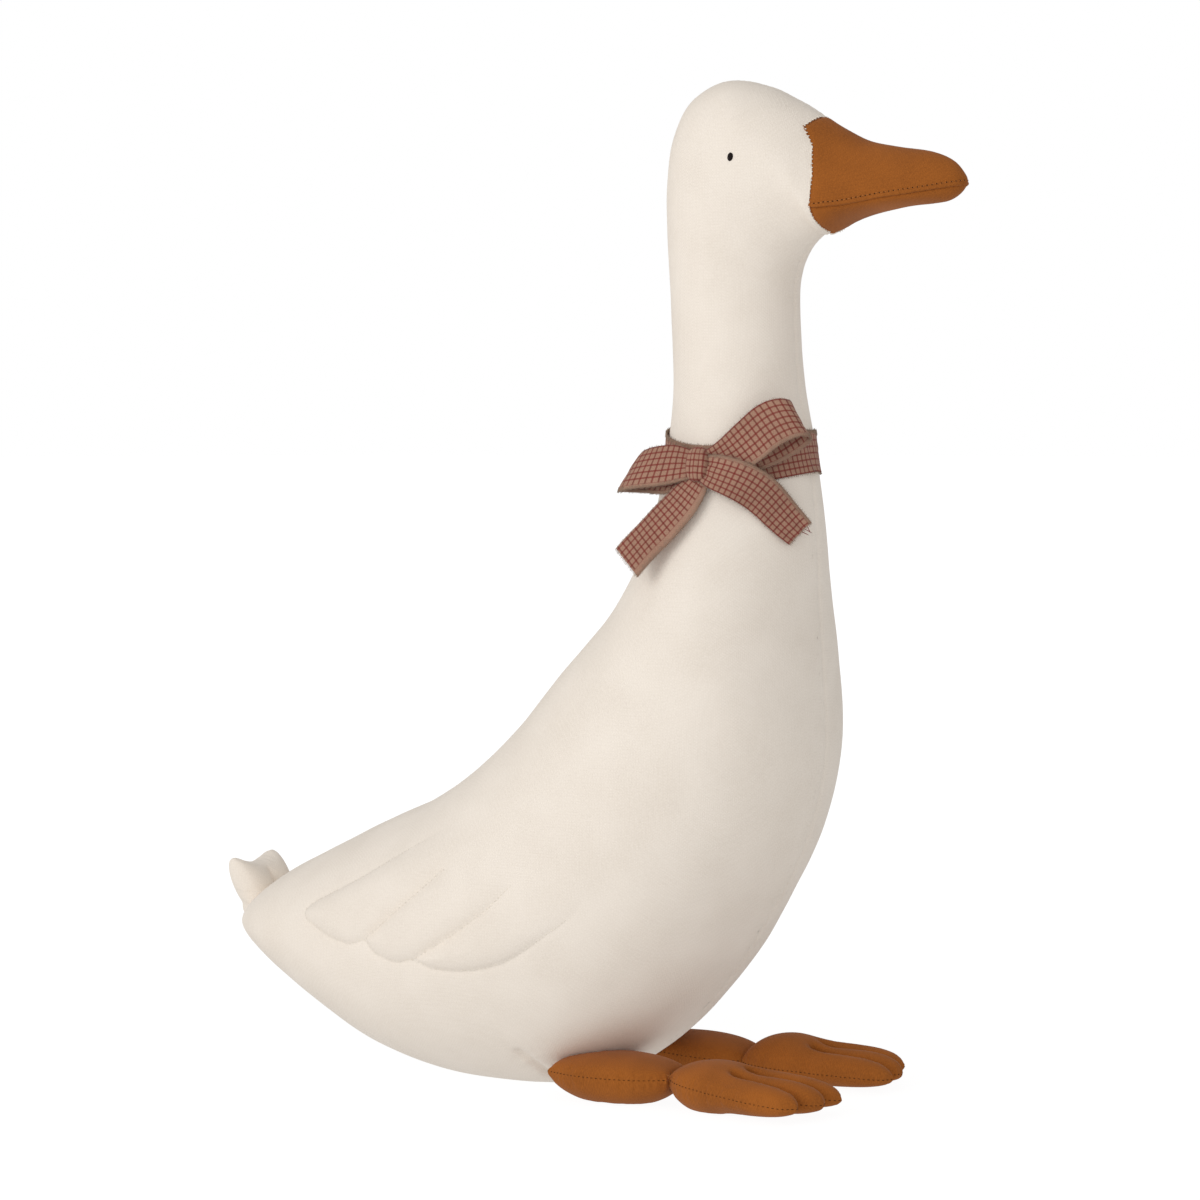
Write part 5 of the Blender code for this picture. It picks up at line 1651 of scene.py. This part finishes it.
    def strip(self, name: str, rows: Sequence[Row], pleats: float, closed: bool = False) -> Object:
        """Carry a length of ribbon along rows, and keep its edges for the fraying.

        Args:
            name: the new object's name.
            rows: the path.
            pleats: how deep the cloth is gathered at the knot's end of the path.
            closed: whether the path comes back to its start.
        Returns:
            The strip with its thickness, with metres of cloth as its UV map.
        """
        count = len(rows)
        centres, ups = [], []
        for row in rows:
            angle = self.angle + math.radians(row.turn)
            place, _, up, out = self.off_neck(angle, self.z + row.rise * self.width)
            facing = self.angle + math.radians(row.turn) * max(0.0, 1 - 2 * row.off)
            round_neck = Vector((-math.sin(facing), math.cos(facing), 0.0))
            slope = math.radians(row.slope)
            centres.append(place + out * row.off * self.width)
            ups.append(up * math.cos(slope) - round_neck * math.sin(slope))
        bm = bmesh.new()
        layer = bm.loops.layers.uv.new("panel")
        rings, runs = [], [0.0]
        for k, row in enumerate(rows):
            before = centres[k - 1] if k or closed else centres[0]
            after = centres[(k + 1) % count] if k < count - 1 or closed else centres[-1]
            face = (after - before).cross(ups[k]).normalized()
            if k:
                runs.append(runs[-1] + (centres[k] - centres[k - 1]).length)
            gather = max(0.0, 1.0 - row.width) * pleats / 0.45
            ring = []
            for j in range(self.across + 1):
                share = 2 * j / self.across - 1
                lean = gather * math.cos(math.pi * 2.5 * share)
                spot = (self.ripple_scale[0] * runs[-1], self.ripple_scale[1] * share, hash_of(name))
                bend = lean + self.ripple * noise.noise(Vector(spot)) + self.curl * share ** 4
                point = centres[k] + ups[k] * share * row.width * self.width / 2 + face * bend
                ring.append(bm.verts.new(self.hold_off(point, self.clear + self.thickness / 2)))
            rings.append(ring)
        pairs = list(zip(range(count - 1), range(1, count))) + ([(count - 1, 0)] if closed else [])
        for k, m in pairs:
            for j in range(self.across):
                made = bm.faces.new((rings[k][j], rings[k][j + 1], rings[m][j + 1], rings[m][j]))
                end = runs[m] if m else runs[k] + (centres[0] - centres[k]).length
                spots = ((runs[k], j), (runs[k], j + 1), (end, j + 1), (end, j))
                for loop, (along, side) in zip(made.loops, spots):
                    side = self.across - side if name in self.turned_over else side
                    loop[layer].uv = (along, side / self.across * self.width - self.worn.get(name, 0.0))
        grid = np.array([[vert.co[:] for vert in ring] for ring in rings])
        self.keep_edges(name, grid)
        self.length += runs[-1]
        obj = piece(name, bm)
        modify(obj, "SOLIDIFY", thickness=self.thickness, offset=0.0)
        bake_modifiers(obj)
        return obj

    def keep_edges(self, name: str, grid: np.ndarray) -> None:
        """Keep the lines of a strip's raw edges, each with the way that its threads stick out."""
        self.edges[name] = [Line.out_of(grid[:, edge], grid[:, inner]) for edge, inner in ((0, 1), (-1, -2))]
        if name in ("right_tail", "left_tail"):
            self.ends[name] = Line.out_of(grid[-1], grid[-2])

    def knot(self) -> Object:
        """Make the knot: a turn of ribbon drawn tight over the bow, with upright pleats."""
        place, normal, up, _ = self.off_neck(self.angle, self.z)
        side = up.cross(normal)
        bm = bmesh.new()
        bmesh.ops.create_uvsphere(bm, u_segments=56, v_segments=32, radius=1.0)
        layer = bm.loops.layers.uv.new("panel")
        laid = {}
        for vert in bm.verts:
            a, b, c = (math.copysign(abs(v) ** 0.7, v) / 2 for v in vert.co)
            fold = math.cos(math.tau * 2.7 * a + 0.8 * math.sin(5.0 * c)) * (1 - abs(2 * c) ** 4)
            pleat = 1.0 + self.knot_pleat * fold
            laid[vert] = (1.5 * a * self.knot_width, 0.2 * self.width + (c + 0.5) * self.knot_height)
            point = place + side * a * self.knot_width * (1 + 0.10 * math.cos(4 * c)) \
                + normal * (b * pleat + 0.5) * self.knot_thickness * 1.05 + up * c * self.knot_height
            vert.co = self.hold_off(point, self.clear)
        for face in bm.faces:
            for loop in face.loops:
                loop[layer].uv = laid[loop.vert]
        return piece("knot", bm)

    def build(self) -> Object:
        """Make the whole ribbon as one piece of cloth."""
        self.edges: dict[str, list[Line]] = {}
        self.ends: dict[str, Line] = {}
        self.length = 0.0
        parts = [self.strip("band", self.band_rows(), 0.0, closed=True)]
        for name, rows in (("right_loop", self.right_loop), ("left_loop", self.left_loop),
                           ("right_tail", self.right_tail), ("left_tail", self.left_tail)):
            parts.append(self.strip(name, self.smooth_rows(rows), self.pleat))
        strips = sum(polygon.area for part in parts for polygon in part.data.polygons) / 2
        parts.append(self.knot())
        knot = sum(polygon.area for polygon in parts[-1].data.polygons) / 2
        bm = bmesh.new()
        for part in parts:
            bm.from_mesh(part.data)
            bpy.data.objects.remove(part)
        obj = piece("ribbon_cloth", bm)
        self.flat = (self.width, (strips + knot) / self.width)
        log.info("ribbon: %.0f mm of path, cut %.0f x %.0f mm", self.length / MM,
                 *(size / MM for size in self.flat))
        return obj

    def combed(self) -> list[Line]:
        """Give the lines that the loose cross threads lie on, over and under the edge without dyed lines."""
        lines = []
        for name, pair in self.edges.items():
            line = pair[1 if name in self.turned_over else 0]
            for way in (-1, 1):
                rise = way * (self.thickness / 2 + self.cross_rise)
                lines.append(Line(line.points + rise * line.up, line.along, line.up))
        return lines

    def fraying(self, threads: ThreadTree, taupe: Material,
                red: Material) -> list[Object]:
        """Lay the frayed threads along the raw edges and at the ends of the tails."""
        edges = [line for pair in self.edges.values() for line in pair]
        reds = [self.ends["right_tail"].part(*self.red_at)]
        comb = threads.lay("ribbon_cross_threads", self.combed(), self.cross_thread, taupe, 7)
        return [threads.lay("ribbon_fuzz", edges, self.fuzz, taupe, 3),
                threads.lay("ribbon_fringe", list(self.ends.values()), self.fringe, taupe, 4), comb,
                threads.lay("ribbon_red_threads", reds, self.red_thread, red, 5)]


def hash_of(name: str) -> float:
    """Give a fixed number for a name, for its own part of the noise."""
    return float(sum(ord(letter) for letter in name) % 97)


# Studio

@dataclass
class Studio:
    """A plain pale floor, a soft light from the upper left, and the camera of the photograph."""

    azimuth: float = math.radians(28.0)
    pitch: float = math.radians(4.4)
    distance: float = 2.6
    lens: float = 127.0
    target: tuple[float, float, float] = (0.050, 0.0, 0.297)
    sensor: float = 36.0
    white: str = "#ffffff"
    floor_near: str = "#e8e4e0"
    floor_radius: float = 9.0
    floor_z: float = -0.2 * MM
    floor_fade: tuple[float, float] = (0.25, 0.6)  # how far out the floor starts and ends to turn white
    floor_bounce: float = 0.72  # of the floor's light on the goose
    floor_shade: float = 0.12  # how much of the goose's shadow shows on the floor
    floor_glow: float = 1.08
    sky_light: float = 0.54
    # Each light's power, its distance, and its way from the goose: towards the camera, left and up.
    key: tuple[float, ...] = (33.0, 3.0, 0.75, 0.85, 0.36)
    fill: tuple[float, ...] = (8.0, 2.4, 1.0, 0.0, 0.1)
    light_size: float = 2.0

    def back(self) -> Vector:
        """Give the way from the goose to the camera."""
        level = math.cos(self.pitch)
        return Vector((math.sin(self.azimuth) * level, -math.cos(self.azimuth) * level, math.sin(self.pitch)))

    def place(self, name: str, data: ID, spot: Vector) -> Object:
        """Put a camera or a light at a spot off the target, and face it towards the target."""
        obj = show(name, data)
        obj.location = Vector(self.target) + spot
        obj.rotation_euler = (-spot).to_track_quat("-Z", "Y").to_euler()
        return obj

    def camera(self) -> None:
        """Set up the camera."""
        data = bpy.data.cameras.new("camera")
        data.lens = self.lens
        data.sensor_width = self.sensor
        bpy.context.scene.camera = self.place("camera", data, self.back() * self.distance)

    def area(self, name: str, power: float, distance: float, back: float, left: float, up: float) -> None:
        """Set up a square soft light that faces the goose.

        Args:
            name: the light's name.
            power: in watts.
            distance: from the goose.
            back: how much of its way from the goose runs towards the camera.
            left: and how much to the camera's left.
            up: and how much straight up.
        """
        data = bpy.data.lights.new(name, "AREA")
        data.energy = power
        data.size = self.light_size
        side = Vector((-math.cos(self.azimuth), -math.sin(self.azimuth), 0.0))
        way = self.back() * back + side * left + Vector((0, 0, up))
        self.place(name, data, way.normalized() * distance)

    def sky(self) -> None:
        """Light the goose softly from all round, with a white background behind it."""
        world = bpy.data.worlds.new("studio")
        world.use_nodes = True
        tree = world.node_tree
        tree.nodes.clear()
        seen = add_node(tree, "ShaderNodeLightPath").outputs["Is Camera Ray"]
        white = linear(self.white)
        soft, plain = (add_node(tree, "ShaderNodeBackground", {"Color": white, "Strength": power})
                       for power in (self.sky_light, 1.0))
        mixed = add_node(tree, "ShaderNodeMixShader", {0: seen, 1: soft.outputs[0], 2: plain.outputs[0]})
        add_node(tree, "ShaderNodeOutputWorld", {0: mixed.outputs[0]})
        bpy.context.scene.world = world

    def floor(self) -> None:
        """Lay the floor: matt near the goose, and turning into the white of the background farther out."""
        bm = bmesh.new()
        bmesh.ops.create_circle(bm, cap_ends=True, segments=96, radius=self.floor_radius)
        for vert in bm.verts:
            vert.co.z = self.floor_z
        obj = piece("floor", bm)
        material, tree, shader = new_material("paper_floor", {
            "Base Color": linear(self.floor_near), "Roughness": 0.9, "Specular IOR Level": 0.1})
        place = add_node(tree, "ShaderNodeTexCoord").outputs["Object"]
        far = add_node(tree, "ShaderNodeVectorMath", {0: place}, operation="LENGTH").outputs["Value"]
        share = add_node(tree, "ShaderNodeMapRange", {
            "Value": far, "From Min": self.floor_fade[0], "From Max": self.floor_fade[1],
            "To Min": 1.0 - self.floor_shade}, interpolation_type="SMOOTHSTEP").outputs[0]
        seen = add_node(tree, "ShaderNodeLightPath").outputs["Is Camera Ray"]
        power = add_node(tree, "ShaderNodeMapRange", {
            "Value": seen, "To Min": self.floor_bounce, "To Max": self.floor_glow}).outputs[0]
        glow = add_node(tree, "ShaderNodeEmission", {"Color": linear(self.white), "Strength": power})
        mixed = add_node(tree, "ShaderNodeMixShader", {0: share, 1: shader.outputs[0], 2: glow.outputs[0]})
        tree.links.new(mixed.outputs[0], tree.nodes["Material Output"].inputs[0])
        obj.data.materials.append(material)

    def build(self) -> None:
        """Set up everything round the goose."""
        scene = bpy.context.scene
        scene.view_settings.view_transform = "Standard"
        scene.view_settings.look = "None"
        self.camera()
        self.sky()
        self.floor()
        self.area("key", *self.key)
        self.area("fill", *self.fill)


def main() -> None:
    """Build the goose piece by piece, and set the studio up round it."""
    logging.basicConfig(level=logging.INFO, format="%(name)s %(message)s")
    form = Form()
    threads = ThreadTree()
    cream, ochre, panel, check = CREAM.material(), OCHRE.material(), OCHRE_PANEL.material(), CHECK.material()
    cream_thread, ochre_thread, hole_shade_thread, taupe, red, dark = (
        thread.material() for thread in (CREAM_THREAD, OCHRE_THREAD, HOLE_SHADE_THREAD, RIBBON_THREAD, RED_THREAD,
                                         EYE_THREAD))

    body = Body(form)
    skin = body.build()
    body.dress(skin, cream)
    wear(body.stitches(threads, cream_thread), "cream_cloth", cream_thread)

    bill = Bill(form)
    upper, lower = bill.build(body.bill_line)
    for obj, node in ((upper, "beak_upper"), (lower, "beak_lower")):
        wear(obj, "ochre_cloth", ochre)
        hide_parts(node)
    lip, hole_shade_marks, slip = bill.stitches(threads, ochre_thread, hole_shade_thread, cream_thread, body.bill_line, body.skin)
    wear(lip, "ochre_cloth", ochre_thread)
    # dark marks of painted shade at the lip's needle holes
    wear(hole_shade_marks, "ochre_cloth", hole_shade_thread)
    wear(slip, "cream_cloth", cream_thread)

    for obj, word in zip(Eyes(form).build(body.skin), ("right", "left")):
        wear(obj, "eye", dark)
        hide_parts("eye_" + word)

    legs = Legs(body.skin)
    for word in ("right", "left"):
        for node, obj in legs.build(word).items():
            wear(obj, "ochre_cloth", panel)
            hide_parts(node)
    for obj, thread in zip(legs.stitches(threads, hole_shade_thread, ochre_thread), (hole_shade_thread, ochre_thread)):
        wear(obj, "ochre_cloth", thread)

    tail = Tail(form, body.skin).build()
    wear(tail, "cream_cloth", cream)
    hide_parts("tail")

    ribbon = Ribbon(form, body.skin)
    cloth = ribbon.build()
    wear(cloth, "check_cloth", check)
    fraying = ribbon.fraying(threads, taupe, red)
    for obj, thread in zip(fraying, (taupe, taupe, taupe, red)):
        wear(obj, "check_cloth", thread)
    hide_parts("neck_ribbon")

    Studio().build()


if __name__ == "__main__":
    main()
